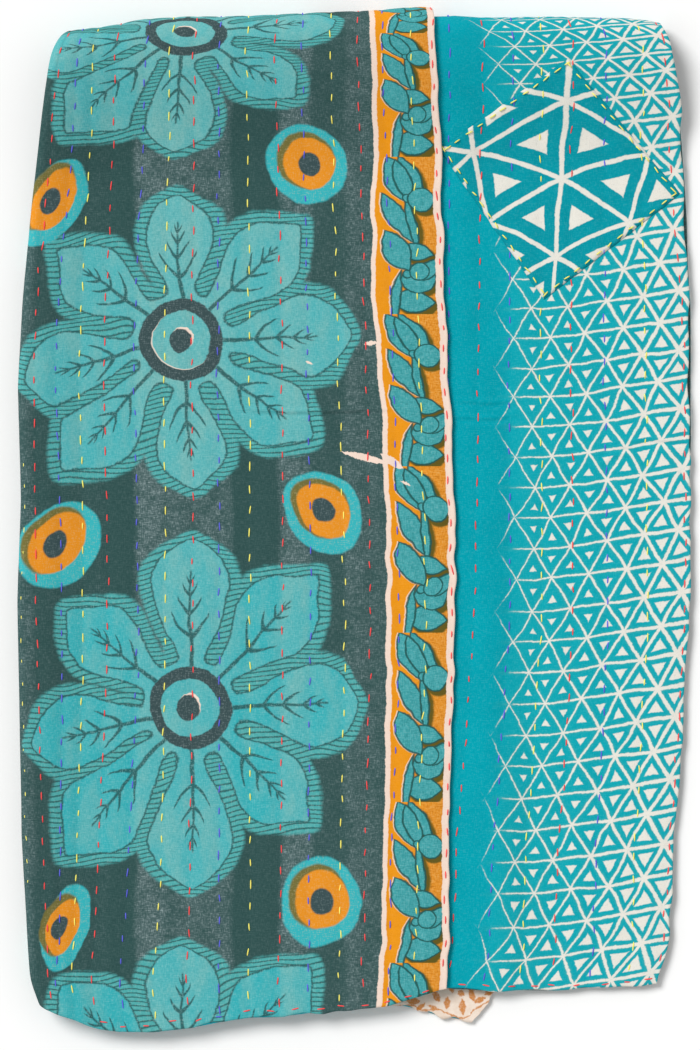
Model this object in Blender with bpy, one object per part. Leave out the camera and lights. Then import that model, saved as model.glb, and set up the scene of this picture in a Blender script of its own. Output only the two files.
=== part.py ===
"""A kantha quilt folded in four, lying on a surface with its folds at the left and at the top.

Two cotton cloths, one dark with flowers and one turquoise, are sewn through with rows of running stitch. The quilt
is folded across its width, so that its left part, the flap, lies dark side up over the base. It is then folded over
at the top, so that the same two layers come back under it. Metres, +Z up: X runs across the stack, Y along it towards
the top fold, and the origin is the middle of the footprint.
"""

import math

import bmesh
import bpy
import numpy as np

MM = 0.001

# Cloth: each one counts its share of the thin inner layers
CLOTH = 1.85 * MM
CLOTH_GAP = 0.3 * MM
QUILT = 2 * CLOTH + CLOTH_GAP
ROW_DIP = 0.8 * MM  # how far a row of stitches draws in the outer face
PATCH = 1.0 * MM
PATCH_GAP = 0.3 * MM

# Stack
PITCH = 6.5 * MM  # from the middle of one layer to the next
SIDE_RADIUS = 5.5 * MM  # side fold, to the middle of the quilt
SIDE_REACH = 60 * MM  # how far in the side fold holds the layers apart
TOP_RADIUS = 12 * MM  # inside of the top fold
TOP_REACH = 130 * MM  # how far down the top fold holds the halves apart
STEP_START = 3 * MM  # beside the flap, the base comes down to the surface from here
STEP_WIDTH = 45 * MM
WAVE = 0.7 * MM  # the loose lie of the upper half on the lower one
WAVE_ACROSS = 71 * MM
WAVE_ALONG = 113 * MM
WAVE_SWAY = 190 * MM
WAVE_SWING = 2.0
WAVE_START = 0.8

# Rows of stitches, as shares of the width of the flap from its free edge, and of the base from its fold
FLAP_ROWS = [0.006, 0.067, 0.128, 0.192, 0.258, 0.328, 0.389, 0.467, 0.542, 0.603, 0.669, 0.740, 0.813, 0.869, 0.926]
BASE_ROWS = [0.635, 0.685, 0.733, 0.780, 0.827, 0.880, 0.939, 0.991]
UNDER_FLAP = [0.0, 0.05, 0.12, 0.3, 0.5, 0.6]  # the base is plain here, where the flap hides it

# Steps of the folds, and shares of the length between the end and the top fold
SIDE_FOLD_STEPS = 6
TOP_FOLD_STEPS = 8
UPPER_STATIONS = [0, 0.03, 0.08, 0.14, 0.2, 0.3, 0.42, 0.54, 0.66, 0.77, 0.86, 0.91, 0.955, 1]
LOWER_STATIONS = [1, 0.94, 0.86, 0.7, 0.45, 0.15, 0.03, 0]

# Patches: the corners of the diamond, and the reach of the corner patch from the free corner of the lower flap
DIAMOND = [[199, 435], [305, 310], [177, 211], [79, 351]]
CORNER_PATCH_WIDTH = 0.33
CORNER_PATCH_LENGTH = 0.2
DIAMOND_STRIP = 0.5  # it is cut from the base past this share of its width
DIAMOND_STRETCH = 0.66  # and past this share of the length
CUTTER_HEIGHT = 200 * MM

FLAP, FOLD, BASE = 0, 1, 2  # zones across a cloth
TABLE_PASSES = 4  # each pass reads the tables nearer the point


def table(names, rows):
    """Columns by name, in metres, from rows in millimetres."""
    return dict(zip(names.split(), np.array(rows, float).T * MM, strict=True))


# Sections up the stack: the side fold, the free edge of the flap and the right hem, above and in the lower half
SIDES = table(
    "y left flap right under_flap under_right",
    [
        [-466, -290, 83, 284, 98, 283],
        [-457, -291, 84, 284, 112, 283],
        [-447, -294, 85, 284, 126, 283],
        [-427, -300, 86, 285, 130, 284],
        [-418, -301, 87, 290, 131, 289],
        [-395, -302, 88, 293, 130, 292],
        [-335, -305, 88, 297, 126, 296],
        [-290, -308, 88, 299, 123, 298],
        [-246, -310, 89, 303, 120, 305],
        [-200, -311, 90, 306, 117, 305],
        [-70, -314, 95, 312, 109, 310],
        [25, -312, 93, 314, 103, 313],
        [130, -312, 88, 312, 97, 315],
        [210, -306, 84, 312, 91, 315],
        [300, -300, 82, 309, 85, 312],
        [395, -290, 79, 303, 79, 306],
        [434, -284, 76, 298, 76, 300],
        [448, -280, 75, 295, 75, 296],
        [460, -273, 74, 288, 74, 289],
        [470, -270, 73, 279, 73, 279],
    ],
)

# Places across the stack: where the top fold begins to turn, and where each layer ends at the bottom
ENDS = table(
    "x fold flap base under_flap under_base",
    [
        [-295, 427, -446, -446, -446, -446],
        [-265, 430, -456, -444, -448, -444],
        [-246, 435, -466, -443, -449, -443],
        [-226, 441, -473, -442, -450, -442],
        [-205, 446, -473, -441, -451, -441],
        [-160, 448, -472, -440, -452, -440],
        [-125, 449, -463, -439, -452, -439],
        [-98, 449, -460, -438, -451, -438],
        [-42, 453, -457, -437, -449, -437],
        [14, 455, -454, -435, -447, -435],
        [37, 457, -447, -434, -448, -434],
        [60, 459, -440, -433, -453, -433],
        [86, 457, -432, -432, -461, -432],
        [130, 455, -432, -431, -466, -434],
        [180, 454, -432, -432, -466, -434],
        [265, 451, -432, -431, -466, -430],
        [285, 450, -432, -425, -466, -425],
    ],
)


def ease(value, start, end):
    """0 before start and 1 past end, with a soft turn between."""
    share = np.clip((value - start) / (end - start), 0, 1)
    return share * share * (3 - 2 * share)


def mix(first, second, share):
    return first + (second - first) * share


def side(name, y):
    return np.interp(y, SIDES["y"], SIDES[name])


def end(name, x):
    return np.interp(x, ENDS["x"], ENDS[name])


def middles(places):
    return [(first + second) / 2 for first, second in zip(places, places[1:])]


def across():
    """The columns of a cloth, from the free edge of the flap round the side fold to the right hem: the zone, the
    place in it, and 1 on a row of stitches."""
    last = mix(FLAP_ROWS[-1], 1, 0.5)
    flap = [(0, 0)] + [(place, 1) for place in FLAP_ROWS] + [(place, 0) for place in middles(FLAP_ROWS) + [last]]
    fold = [(math.pi * step / SIDE_FOLD_STEPS, 0) for step in range(SIDE_FOLD_STEPS)]
    base = [(place, 1) for place in BASE_ROWS] + [(place, 0) for place in UNDER_FLAP + middles(BASE_ROWS) + [1]]
    columns = sorted(flap) + fold + sorted(base)
    zone = [FLAP] * len(flap) + [FOLD] * len(fold) + [BASE] * len(base)
    return np.array(zone), np.array([place for place, _ in columns]), np.array([row for _, row in columns])


def along():
    """The stations of a cloth, from the end of the upper half over the top fold to the end of the lower half: the
    share of the length, and the angle that the fold has turned."""
    fold = [math.pi * step / TOP_FOLD_STEPS for step in range(1, TOP_FOLD_STEPS)]
    share = UPPER_STATIONS + [1] * len(fold) + LOWER_STATIONS
    turn = [0] * len(UPPER_STATIONS) + fold + [math.pi] * len(LOWER_STATIONS)
    return np.array(share, float), np.array(turn, float)


def layer_gap(x, fold_x):
    """From the middle of the flap to that of the base, wider beside the side fold."""
    return mix(2 * SIDE_RADIUS, PITCH, ease(x, fold_x, fold_x + SIDE_REACH))


def wave(x, y):
    """The loose lie of the upper half, from 0 to its full height."""
    swell = np.sin(x / WAVE_ACROSS + WAVE_SWING * np.sin(y / WAVE_SWAY)) * np.sin(y / WAVE_ALONG + WAVE_START)
    return WAVE * (1 + swell) / 2


def lay(columns, stations, offset):
    """Points of the folded quilt at an offset from its middle, towards the dark face."""
    zone, place = columns[0][:, None], columns[1][:, None]
    share, turn = stations[0][None, :], stations[1][None, :]
    lower = turn / math.pi
    reach = SIDE_RADIUS + offset
    y = mix(SIDES["y"][0], SIDES["y"][-1], share) + 0 * place
    for _ in range(TABLE_PASSES):
        fold_x = side("left", y) + SIDE_RADIUS + QUILT / 2
        edge = mix(side("flap", y), side("under_flap", y), lower)
        hem = mix(side("right", y), side("under_right", y), lower)
        x = np.choose(zone, [mix(edge, fold_x, place), fold_x - reach * np.sin(place), mix(fold_x, hem, place)])
        h_flap = PITCH / 2 + layer_gap(x, fold_x) + offset
        h_fold = PITCH / 2 + SIDE_RADIUS + reach * np.cos(place)
        h_base = PITCH / 2 - offset + 0 * x
        height = np.choose(zone, [h_flap, h_fold, h_base])
        as_flap = np.choose(zone, [1 + 0 * place, np.cos(place / 2) ** 2, 0 * place])
        upper_end = mix(end("base", x), end("flap", x), as_flap)
        lower_end = mix(end("under_base", x), end("under_flap", x), as_flap)
        fold_y = end("fold", x)
        level = mix(mix(upper_end, lower_end, lower), fold_y, share)
        opening = TOP_RADIUS * ease(level, fold_y - TOP_REACH, fold_y) + wave(x, level)
        y = level + (opening + height) * np.sin(turn)
    step_x = np.maximum(side("flap", y), side("under_flap", y)) + STEP_START
    lift = layer_gap(x, fold_x) * (1 - ease(x, step_x, step_x + STEP_WIDTH))
    middle = QUILT / 2 + opening + PITCH / 2 + lift
    z = middle + (opening + height) * np.cos(turn)
    return np.stack([x, y, z], axis=2)


def dips(columns, stations):
    """How far each point of an outer face is drawn in. The lower half lies flat."""
    upper = 1 - ease(stations[1], math.pi / 2, math.pi)
    return ROW_DIP * columns[2][:, None] * upper[None, :]


def object_of(name, mesh):
    data = bpy.data.meshes.new(name)
    mesh.to_mesh(data)
    mesh.free()
    piece = bpy.data.objects.new(name, data)
    bpy.context.collection.objects.link(piece)
    return piece


def sheet(name, first, second):
    """A closed sheet between two faces of points, with a rim round them."""
    mesh = bmesh.new()
    first, second = ([[mesh.verts.new(point) for point in column] for column in face] for face in (first, second))
    last, top = len(first) - 1, len(first[0]) - 1
    for i in range(last):
        for j in range(top):
            for a, b, c in (((i, j), (i + 1, j), (i + 1, j + 1)), ((i, j), (i + 1, j + 1), (i, j + 1))):
                mesh.faces.new([first[m][n] for m, n in (a, b, c)])
                mesh.faces.new([second[m][n] for m, n in (c, b, a)])
    rim = [(i, 0) for i in range(last)] + [(last, j) for j in range(top)]
    rim += [(i, top) for i in range(last, 0, -1)] + [(0, j) for j in range(top, 0, -1)]
    for (i, j), (m, n) in zip(rim, rim[1:] + rim[:1]):
        mesh.faces.new([first[m][n], first[i][j], second[i][j], second[m][n]])
    bmesh.ops.recalc_face_normals(mesh, faces=mesh.faces)
    return object_of(name, mesh)


def face_cloth(columns, stations):
    near = lay(columns, stations, np.array([[CLOTH_GAP / 2]]))
    far = lay(columns, stations, QUILT / 2 - dips(columns, stations))
    return sheet("face_cloth", near, far)


def back_cloth(columns, stations):
    near = lay(columns, stations, np.array([[-CLOTH_GAP / 2]]))
    far = lay(columns, stations, dips(columns, stations) - QUILT / 2)
    return sheet("back_cloth", near, far)


def patch(name, columns, stations):
    """A thin sheet on the turquoise face, which follows its dips."""
    seat = dips(columns, stations) - QUILT / 2 - PATCH_GAP
    return sheet(name, lay(columns, stations, seat), lay(columns, stations, seat - PATCH))


def some(values, keep):
    return tuple(value[keep] for value in values)


def diamond_patch(columns, stations):
    """A square of cloth set cornerwise on the turquoise face: a stretch of it cut to its outline."""
    wide = some(columns, (columns[0] == BASE) & (columns[1] >= DIAMOND_STRIP))
    high = some(stations, (stations[1] == 0) & (stations[0] >= DIAMOND_STRETCH))
    piece = patch("diamond_patch", wide, high)
    outline = bmesh.new()
    floor = outline.faces.new([outline.verts.new((x * MM, y * MM, 0)) for x, y in DIAMOND])
    raised = bmesh.ops.extrude_face_region(outline, geom=[floor])
    top = [item for item in raised["geom"] if isinstance(item, bmesh.types.BMVert)]
    bmesh.ops.translate(outline, verts=top, vec=(0, 0, CUTTER_HEIGHT))
    bmesh.ops.recalc_face_normals(outline, faces=outline.faces)
    cutter = object_of("diamond_outline", outline)
    cutter.hide_render = True
    cutter.display_type = "WIRE"
    cut = piece.modifiers.new("outline", "BOOLEAN")
    cut.operation = "INTERSECT"
    cut.object = cutter
    return piece, cutter


def corner_patch(columns, stations):
    """A cream cloth on the turquoise face, at the free corner of the lower flap."""
    wide = some(columns, (columns[0] == FLAP) & (columns[1] <= CORNER_PATCH_WIDTH))
    high = some(stations, (stations[1] == math.pi) & (stations[0] <= CORNER_PATCH_LENGTH))
    return patch("corner_patch", wide, high)


def cotton(name, colour, roughness=0.85):
    material = bpy.data.materials.new(name)
    material.use_nodes = True
    surface = material.node_tree.nodes["Principled BSDF"]
    surface.inputs["Base Color"].default_value = (*colour, 1)
    surface.inputs["Roughness"].default_value = roughness
    return material


def centre_on_origin(pieces, helpers):
    """Moves every mesh so that the middle of the footprint is the origin."""
    points = np.array([vertex.co for piece in pieces for vertex in piece.data.vertices])
    low, high = points.min(axis=0), points.max(axis=0)
    shift = np.array([(low[0] + high[0]) / 2, (low[1] + high[1]) / 2, low[2]])
    for piece in pieces + helpers:
        for vertex in piece.data.vertices:
            vertex.co = np.array(vertex.co) - shift


def main():
    for item in list(bpy.data.objects):
        bpy.data.objects.remove(item)
    columns, stations = across(), along()
    face = face_cloth(columns, stations)
    back = back_cloth(columns, stations)
    diamond, outline = diamond_patch(columns, stations)
    corner = corner_patch(columns, stations)
    face.data.materials.append(cotton("dark green cotton", (0.043, 0.098, 0.095)))
    back.data.materials.append(cotton("turquoise cotton", (0.004, 0.352, 0.413)))
    diamond.data.materials.append(cotton("teal printed cotton", (0.004, 0.305, 0.376)))
    corner.data.materials.append(cotton("cream printed cotton", (0.871, 0.730, 0.604)))
    centre_on_origin([face, back, corner], [diamond, outline])


main()
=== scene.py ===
"""A kantha quilt, folded across its width and over at the top, seen from straight above.

The CAD frame gives the folded stack. Here each cloth is laid again along the same folds as a fine
sheet, with its hems, creases, puckers, printed patterns and rows of running stitch.
"""

import math

import bmesh
import bpy
import numpy as np
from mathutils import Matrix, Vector


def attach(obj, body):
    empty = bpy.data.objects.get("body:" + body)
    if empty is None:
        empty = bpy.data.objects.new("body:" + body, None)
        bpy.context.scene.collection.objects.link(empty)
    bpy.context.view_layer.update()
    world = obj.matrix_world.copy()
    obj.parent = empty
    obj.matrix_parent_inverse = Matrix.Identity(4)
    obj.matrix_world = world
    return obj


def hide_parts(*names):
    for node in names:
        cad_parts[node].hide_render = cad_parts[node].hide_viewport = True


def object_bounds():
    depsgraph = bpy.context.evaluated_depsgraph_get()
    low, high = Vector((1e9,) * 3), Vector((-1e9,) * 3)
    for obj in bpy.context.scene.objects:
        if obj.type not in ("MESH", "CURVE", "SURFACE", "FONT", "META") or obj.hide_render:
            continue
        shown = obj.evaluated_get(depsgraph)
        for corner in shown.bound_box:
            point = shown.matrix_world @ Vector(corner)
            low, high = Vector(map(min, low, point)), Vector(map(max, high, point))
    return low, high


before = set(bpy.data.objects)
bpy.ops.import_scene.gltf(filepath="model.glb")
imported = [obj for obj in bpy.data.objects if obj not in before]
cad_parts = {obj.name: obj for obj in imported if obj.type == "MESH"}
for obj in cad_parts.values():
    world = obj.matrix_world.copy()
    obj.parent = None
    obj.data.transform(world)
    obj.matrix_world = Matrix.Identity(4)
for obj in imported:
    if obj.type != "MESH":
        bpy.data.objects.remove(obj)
BOX_LOW, BOX_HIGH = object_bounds()

MM = 0.001

# The folded stack, as in the CAD source
CLOTH = 1.85 * MM
CLOTH_GAP = 0.3 * MM
QUILT = 2 * CLOTH + CLOTH_GAP
PATCH = 1.0 * MM
PATCH_GAP = 0.3 * MM
PITCH = 6.5 * MM
SIDE_RADIUS = 5.5 * MM
SIDE_REACH = 60 * MM
TOP_RADIUS = 12 * MM
TOP_REACH = 130 * MM
STEP_START = 3 * MM
STEP_WIDTH = 45 * MM
WAVE = 0.7 * MM
WAVE_ACROSS = 71 * MM
WAVE_ALONG = 113 * MM
WAVE_SWAY = 190 * MM
WAVE_SWING = 2.0
WAVE_START = 0.8
TABLE_PASSES = 4
FLAP, FOLD, BASE = 0, 1, 2  # zones across a cloth

# From the places in the tables below to the frame, whose box starts at these places
TABLE_RIGHT = 315.0 * MM
TABLE_BOTTOM = -473.0 * MM
SHIFT_X = TABLE_RIGHT - BOX_HIGH.x
SHIFT_Y = TABLE_BOTTOM - BOX_LOW.y

# The prints are measured out in units of 0.93 mm, from the left and from the top of a table under the quilt
UNIT = 0.93 * MM
UNITS_LEFT = 355
UNITS_TOP = 525

# Fine grid of the sheets
STEP_ALONG = 4 * MM
CREASED = [48 * MM, 122 * MM]  # the heights with the sharpest creases, and the finer step there
CREASE_STEP = 1.3 * MM
CREASE_ROLL = 0.9  # how high the cloth rolls up beside a trough, by its depth
ROLL_AWAY = 2.2  # how far from the trough the roll is, by its width
HEM_STEPS = [0, 0.5 * MM, 1.3 * MM, 2.6 * MM]
HEM_ROUND = 2.4 * MM
SIDE_FOLD_STEPS = 12
TOP_FOLD_STEPS = 16
LOWER_STEPS = 22
BETWEEN_ROWS = [0, 0.08, 0.2, 0.5, 0.8, 0.92]  # columns from one row of stitches to the next
BESIDE_HEM = [0, 0.12, 0.35, 0.7]  # columns from a hem to the row beside it

# Relief of the outer faces
ROW_DEPTH = 0.65 * MM
STITCH_DEPTH = 0.25 * MM
ROW_WIDTH = 2.6 * MM
PUCKER = 0.28 * MM
SWELL = 0.25 * MM

# Thread
THREAD = 0.62 * MM  # half its thickness
STITCH = 3.95 * MM  # half the length of a stitch
STITCH_PITCH = 20.5 * MM
STITCH_ARCH = 0.75 * MM
RINGS = [-1, -0.55, 0, 0.55, 1]
SIDES_ROUND = 6


def table(names, rows):
    """Columns by name, in metres, from rows in millimetres."""
    return dict(zip(names.split(), np.array(rows, float).T * MM, strict=True))


# Sections up the stack: the side fold, the flap's free edge and the right hem, above and in the lower half
SIDES = table(
    "y left flap right under_flap under_right",
    [
        [-466, -291, 83, 281, 104, 280],
        [-457, -292, 84, 281, 118, 280],
        [-447, -295, 85, 281, 128, 280],
        [-427, -303, 86, 282, 131, 281],
        [-418, -304, 87, 287, 131, 286],
        [-395, -305.5, 88, 293, 130, 292],
        [-335, -309, 88, 297, 126, 296],
        [-290, -311.5, 88, 299, 123, 298],
        [-246, -312, 89, 302, 120, 303],
        [-200, -313, 90, 307, 117, 305],
        [-70, -315.5, 95, 313, 109, 310],
        [25, -312, 93, 315, 103, 313],
        [130, -315, 88, 312, 97, 315],
        [210, -310.5, 84, 312, 91, 314],
        [300, -302, 82, 308, 85, 309],
        [395, -290, 79, 303.5, 79, 303.5],
        [434, -284, 76, 297.5, 76, 298],
        [448, -280, 75, 295, 75, 296],
        [460, -273, 74, 291, 74, 291],
        [470, -270, 73, 282, 73, 282],
    ],
)

# Places across the stack: where the top fold begins to turn, and where each layer ends at the bottom
ENDS = table(
    "x fold flap base under_flap under_base",
    [
        [-295, 428, -449, -446, -446, -446],
        [-265, 433, -461, -444, -448, -444],
        [-246, 436, -469, -443, -449, -443],
        [-226, 441, -474, -442, -450, -442],
        [-205, 448, -474, -441, -451, -441],
        [-160, 451, -472, -440, -452, -440],
        [-125, 451, -463, -439, -452, -439],
        [-98, 452, -459, -438, -451, -438],
        [-42, 455, -456, -437, -449, -437],
        [14, 457, -453, -435, -447, -435],
        [37, 459, -447, -434, -448, -434],
        [60, 461, -440, -433, -453, -433],
        [86, 459, -433, -433, -463, -433],
        [130, 457, -434, -436, -467, -434],
        [180, 458, -434, -436, -467, -434],
        [220, 457, -434, -435, -467, -434],
        [265, 456, -432, -432, -467, -430],
        [285, 452, -432, -427, -466, -425],
    ],
)

# Rows of stitches, from the flap's free edge to the side fold: colour, and place at each height
ROW_HEIGHTS = np.array([-442, -330, -88, 172, 451]) * MM
FLAP_ROWS = [
    ("red", [81.5, 84.5, 91, 82.8, 71.5]),
    ("yellow", [54.9, 57.7, 67, 59.5, 52]),
    ("blue", [31, 33.5, 42, 35, 25]),
    ("red", [6.5, 9, 15, 10, 2]),
    ("yellow", [-15, -14, -9, -16, -23]),
    ("blue", [-43, -44, -41, -44, -50]),
    ("red", [-72.5, -69, -68, -68, -75]),
    ("yellow", [-99.5, -97.7, -98.6, -98.6, -101]),
    ("blue", [-127, -127, -127, -128, -126.5]),
    ("red", [-157, -154, -151.6, -152.5, -149]),
    ("yellow", [-189, -181, -176.7, -178.6, -171]),
    ("blue", [-219.5, -212, -202, -206.5, -193]),
    ("red", [-245.5, -241, -229.7, -235, -221]),
    ("yellow", [-264, -260, -253, -257.6, -241]),
    ("blue", [-277, -275, -273, -280, -255]),
    ("red", [-283, -290, -297, -300, -274]),
]
BASE_ROWS = [
    ("blue", [62, 66, 86, 88, 87.4]),
    ("red", [88, 93, 112, 116, 119]),
    ("blue", [122, 127, 145, 144, 147]),
    ("yellow", [154, 159, 175, 174, 174]),
    ("red", [184, 189, 205, 202, 202]),
    ("blue", [220, 225, 237, 233, 233]),
    ("yellow", [256, 261, 274, 272, 266]),
    ("red", [281, 293, 309, 308, 287]),
]
HIDDEN_BASE = [0, 0.04, 0.12, 0.3, 0.45]  # columns of the base under the flap, as shares of its width

# Loose creases: from one place to another, how deep (a ridge is less than 0) and how wide
CREASES = [
    [-107, 105, 35, 103, 1.15, 1.6],
    [93, 112, 152, 113, 0.7, 1.7],
    [93, 97, 150, 99, 0.85, 1.7],
    [236, 52, 248, 70, 0.95, 1.6],
    [246, 70, 282, 78, 1.05, 1.6],
    [278, 78, 311, 73, 0.95, 1.6],
    [-290, 120, -235, 108, 0.7, 2.0],
    [-40, 418, 20, 409, -0.5, 5.0],
    [180, 428, 262, 418, 0.5, 4.0],
    [-262, -418, -190, -430, 0.5, 5.0],
    [20, -395, 70, -408, -0.4, 5.0],
    [205, -395, 280, -380, 0.5, 5.0],
]

# The diamond patch: its corners from the top, clockwise, and how it stands on the turquoise face
DIAMOND = [[199, 435], [305, 310], [177, 211], [79, 351]]
DIAMOND_STEPS = 56
DIAMOND_HEM = 0.7 * MM

# The cream patch at the lower corner, as shares of the flap's width and of the length
CORNER_WIDTH = 0.33
CORNER_LENGTH = 0.2
CORNER_FRAY = 1.6 * MM

GRID_STEP = 2 * MM
GRID = np.arange(-600, 601, 2) * MM


def ease(value, start, end):
    """0 before start and 1 past end, with a soft turn between."""
    share = np.clip((value - start) / (end - start), 0, 1)
    return share * share * (3 - 2 * share)


def mix(first, second, share):
    return first + (second - first) * share


def evened(values, reach):
    """Values along the grid, evened out over a reach."""
    steps = int(3 * reach / GRID_STEP)
    weights = np.exp(-0.5 * (np.arange(-steps, steps + 1) * GRID_STEP / reach) ** 2)
    return np.convolve(np.pad(values, steps, mode="edge"), weights / weights.sum(), "valid")


def uneven(seed, size, reach):
    """A hand-sewn unevenness along the grid, about size high and reach long."""
    values = evened(np.random.default_rng(seed).normal(size=len(GRID)), reach)
    return values * size / values.std()


def fine(columns, key, reach, hems, size):
    """The columns of a table along the grid, evened out, with uneven hems."""
    result = {}
    for seed, name in enumerate(columns):
        if name != key:
            line = evened(np.interp(GRID, columns[key], columns[name]), reach)
            result[name] = line + uneven(seed, size, HEM_WANDER) if name in hems else line
    return result


HEM_WANDER = 7 * MM
SIDE_LINES = fine(SIDES, "y", 7 * MM, ["flap", "right", "under_flap", "under_right"], 0.7 * MM)
END_LINES = fine(ENDS, "x", 8 * MM, ["flap", "base", "under_flap", "under_base"], 0.8 * MM)


def side(name, y):
    return np.interp(y, GRID, SIDE_LINES[name])


def end(name, x):
    return np.interp(x, GRID, END_LINES[name])


def fold_line(y):
    """Where the flap and the base meet the side fold."""
    return side("left", y) + SIDE_RADIUS + QUILT / 2


def zone_sides(zone, y):
    """Where the flap or the base starts and stops across the stack."""
    if zone == FLAP:
        return side("flap", y), fold_line(y)
    return fold_line(y), side("right", y)


def row_lines(rows, zone):
    """The place of each row across its zone along the grid, from 0 at one side to 1 at the other."""
    lines = []
    for _, places in rows:
        x = np.interp(GRID, ROW_HEIGHTS, np.array(places) * MM)
        start, stop = zone_sides(zone, GRID)
        lines.append(evened(np.clip((x - start) / (stop - start), 0.002, 0.998), 30 * MM))
    return lines


def constant(value):
    return np.full(len(GRID), float(value))


FLAP_LINES = [constant(0)] + row_lines(FLAP_ROWS, FLAP) + [constant(1)]
BASE_LINES = [constant(place) for place in HIDDEN_BASE] + row_lines(BASE_ROWS, BASE) + [constant(1)]
FIRST_BASE_ROW = len(HIDDEN_BASE)


def between(lines, column, y):
    """The place at a height of a column that lies between two lines."""
    low = min(int(column), len(lines) - 2)
    return mix(np.interp(y, GRID, lines[low]), np.interp(y, GRID, lines[low + 1]), column - low)


def flap_columns(detailed):
    """Columns from the free edge to the side fold, as places between the lines of the flap."""
    rows = len(FLAP_ROWS)
    hem = list(BESIDE_HEM)
    if detailed:
        return hem + [row + part for row in range(1, rows) for part in BETWEEN_ROWS] + [rows, rows + 0.5]
    return hem + list(range(1, rows + 1))


def base_columns(detailed):
    """Columns from the side fold to the right hem, as places between the lines of the base."""
    hidden = list(range(FIRST_BASE_ROW))
    last = FIRST_BASE_ROW + len(BASE_ROWS) - 1
    hem = [last + 1 - part for part in reversed(BESIDE_HEM)]
    if detailed:
        rows = [row + part for row in range(FIRST_BASE_ROW, last) for part in BETWEEN_ROWS] + [last]
        return hidden + rows + hem
    return hidden + list(range(FIRST_BASE_ROW, last + 1)) + hem


def across(fine_flap, fine_base):
    """The columns of a cloth: the zone of each, and its line or angle there."""
    flap = flap_columns(fine_flap)
    fold = [math.pi * step / SIDE_FOLD_STEPS for step in range(SIDE_FOLD_STEPS)]
    base = base_columns(fine_base)
    return [FLAP] * len(flap) + [FOLD] * len(fold) + [BASE] * len(base), flap + fold + base


def along():
    """The stations of a cloth: the share of the length, and the angle that the top fold has turned."""
    start, stop = SIDES["y"][0], SIDES["y"][-1]
    length = stop - start
    hem = np.array(HEM_STEPS) / length
    low, high = CREASED
    heights = [np.arange(start + STEP_ALONG, low, STEP_ALONG), np.arange(low, high, CREASE_STEP)]
    heights.append(np.linspace(high, stop, round((stop - high) / STEP_ALONG)))
    upper = (np.concatenate(heights) - start) / length
    fold = [math.pi * step / TOP_FOLD_STEPS for step in range(1, TOP_FOLD_STEPS)]
    lower = np.linspace(1, 2 * STEP_ALONG / length, LOWER_STEPS)
    share = np.concatenate([hem, upper, np.ones(len(fold)), lower, hem[::-1]])
    turn = [0] * (len(hem) + len(upper)) + fold + [math.pi] * (len(lower) + len(hem))
    return share, np.array(turn, float)


def layer_gap(x, fold_x):
    """From the middle of the flap to that of the base, wider beside the side fold."""
    return mix(2 * SIDE_RADIUS, PITCH, ease(x, fold_x, fold_x + SIDE_REACH))


def wave(x, y):
    """The loose lie of the upper half, from 0 to its full height."""
    swell = np.sin(x / WAVE_ACROSS + WAVE_SWING * np.sin(y / WAVE_SWAY)) * np.sin(y / WAVE_ALONG + WAVE_START)
    return WAVE * (1 + swell) / 2


def places(zones, columns, y):
    """The place of every column in its zone at each height: a share across it, or an angle in the fold."""
    rows = []
    for i, (zone, column) in enumerate(zip(zones, columns)):
        if zone == FOLD:
            rows.append(0 * y[i] + column)
        else:
            rows.append(between(FLAP_LINES if zone == FLAP else BASE_LINES, column, y[i]))
    return np.array(rows)


def lay(zones, columns, stations, offset):
    """Points of the folded quilt, offset from its middle to the dark face, and what is known of them."""
    zone = np.array(zones)[:, None]
    share, turn = stations[0][None, :], stations[1][None, :]
    lower = turn / math.pi
    reach = SIDE_RADIUS + offset
    y = mix(SIDES["y"][0], SIDES["y"][-1], share) + 0.0 * zone
    for _ in range(TABLE_PASSES):
        place = places(zones, columns, y)
        fold_x = fold_line(y)
        edge = mix(side("flap", y), side("under_flap", y), lower)
        hem = mix(side("right", y), side("under_right", y), lower)
        on_fold = fold_x - reach * np.sin(place)
        x = np.choose(zone, [mix(edge, fold_x, place), on_fold, mix(fold_x, hem, place)])
        h_flap = PITCH / 2 + layer_gap(x, fold_x) + offset
        h_fold = PITCH / 2 + SIDE_RADIUS + reach * np.cos(place)
        h_base = PITCH / 2 - offset + 0 * x
        height = np.choose(zone, [h_flap, h_fold, h_base])
        as_flap = np.choose(zone, [1 + 0 * place, np.cos(place / 2) ** 2, 0 * place])
        upper_end = mix(end("base", x), end("flap", x), as_flap)
        lower_end = mix(end("under_base", x), end("under_flap", x), as_flap)
        fold_y = end("fold", x)
        finish = mix(upper_end, lower_end, lower)
        level = mix(finish, fold_y, share)
        opening = TOP_RADIUS * ease(level, fold_y - TOP_REACH, fold_y) + wave(x, level)
        y = level + (opening + height) * np.sin(turn)
    step_x = np.maximum(side("flap", y), side("under_flap", y)) + STEP_START
    lift = layer_gap(x, fold_x) * (1 - ease(x, step_x, step_x + STEP_WIDTH))
    z = QUILT / 2 + opening + PITCH / 2 + lift + (opening + height) * np.cos(turn)
    to_edge = np.choose(zone, [edge - x, 1 + 0 * x, hem - x])
    known = dict(place=place, fold_x=fold_x, edge=edge, hem=hem, to_edge=to_edge, to_end=level - finish)
    return np.stack([x, y, z], axis=2), known


def upper_z(zone, x, y, out):
    """The height of a place on the upper half, a way out from the middle of the quilt."""
    fold_x = fold_line(y)
    fold_y = end("fold", x)
    opening = TOP_RADIUS * ease(y, fold_y - TOP_REACH, fold_y) + wave(x, y)
    step_x = np.maximum(side("flap", y), side("under_flap", y)) + STEP_START
    gap = layer_gap(x, fold_x)
    lift = gap * (1 - ease(x, step_x, step_x + STEP_WIDTH))
    layer = PITCH / 2 + gap if zone == FLAP else PITCH / 2
    return QUILT / 2 + 2 * opening + PITCH / 2 + lift + layer + out


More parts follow.
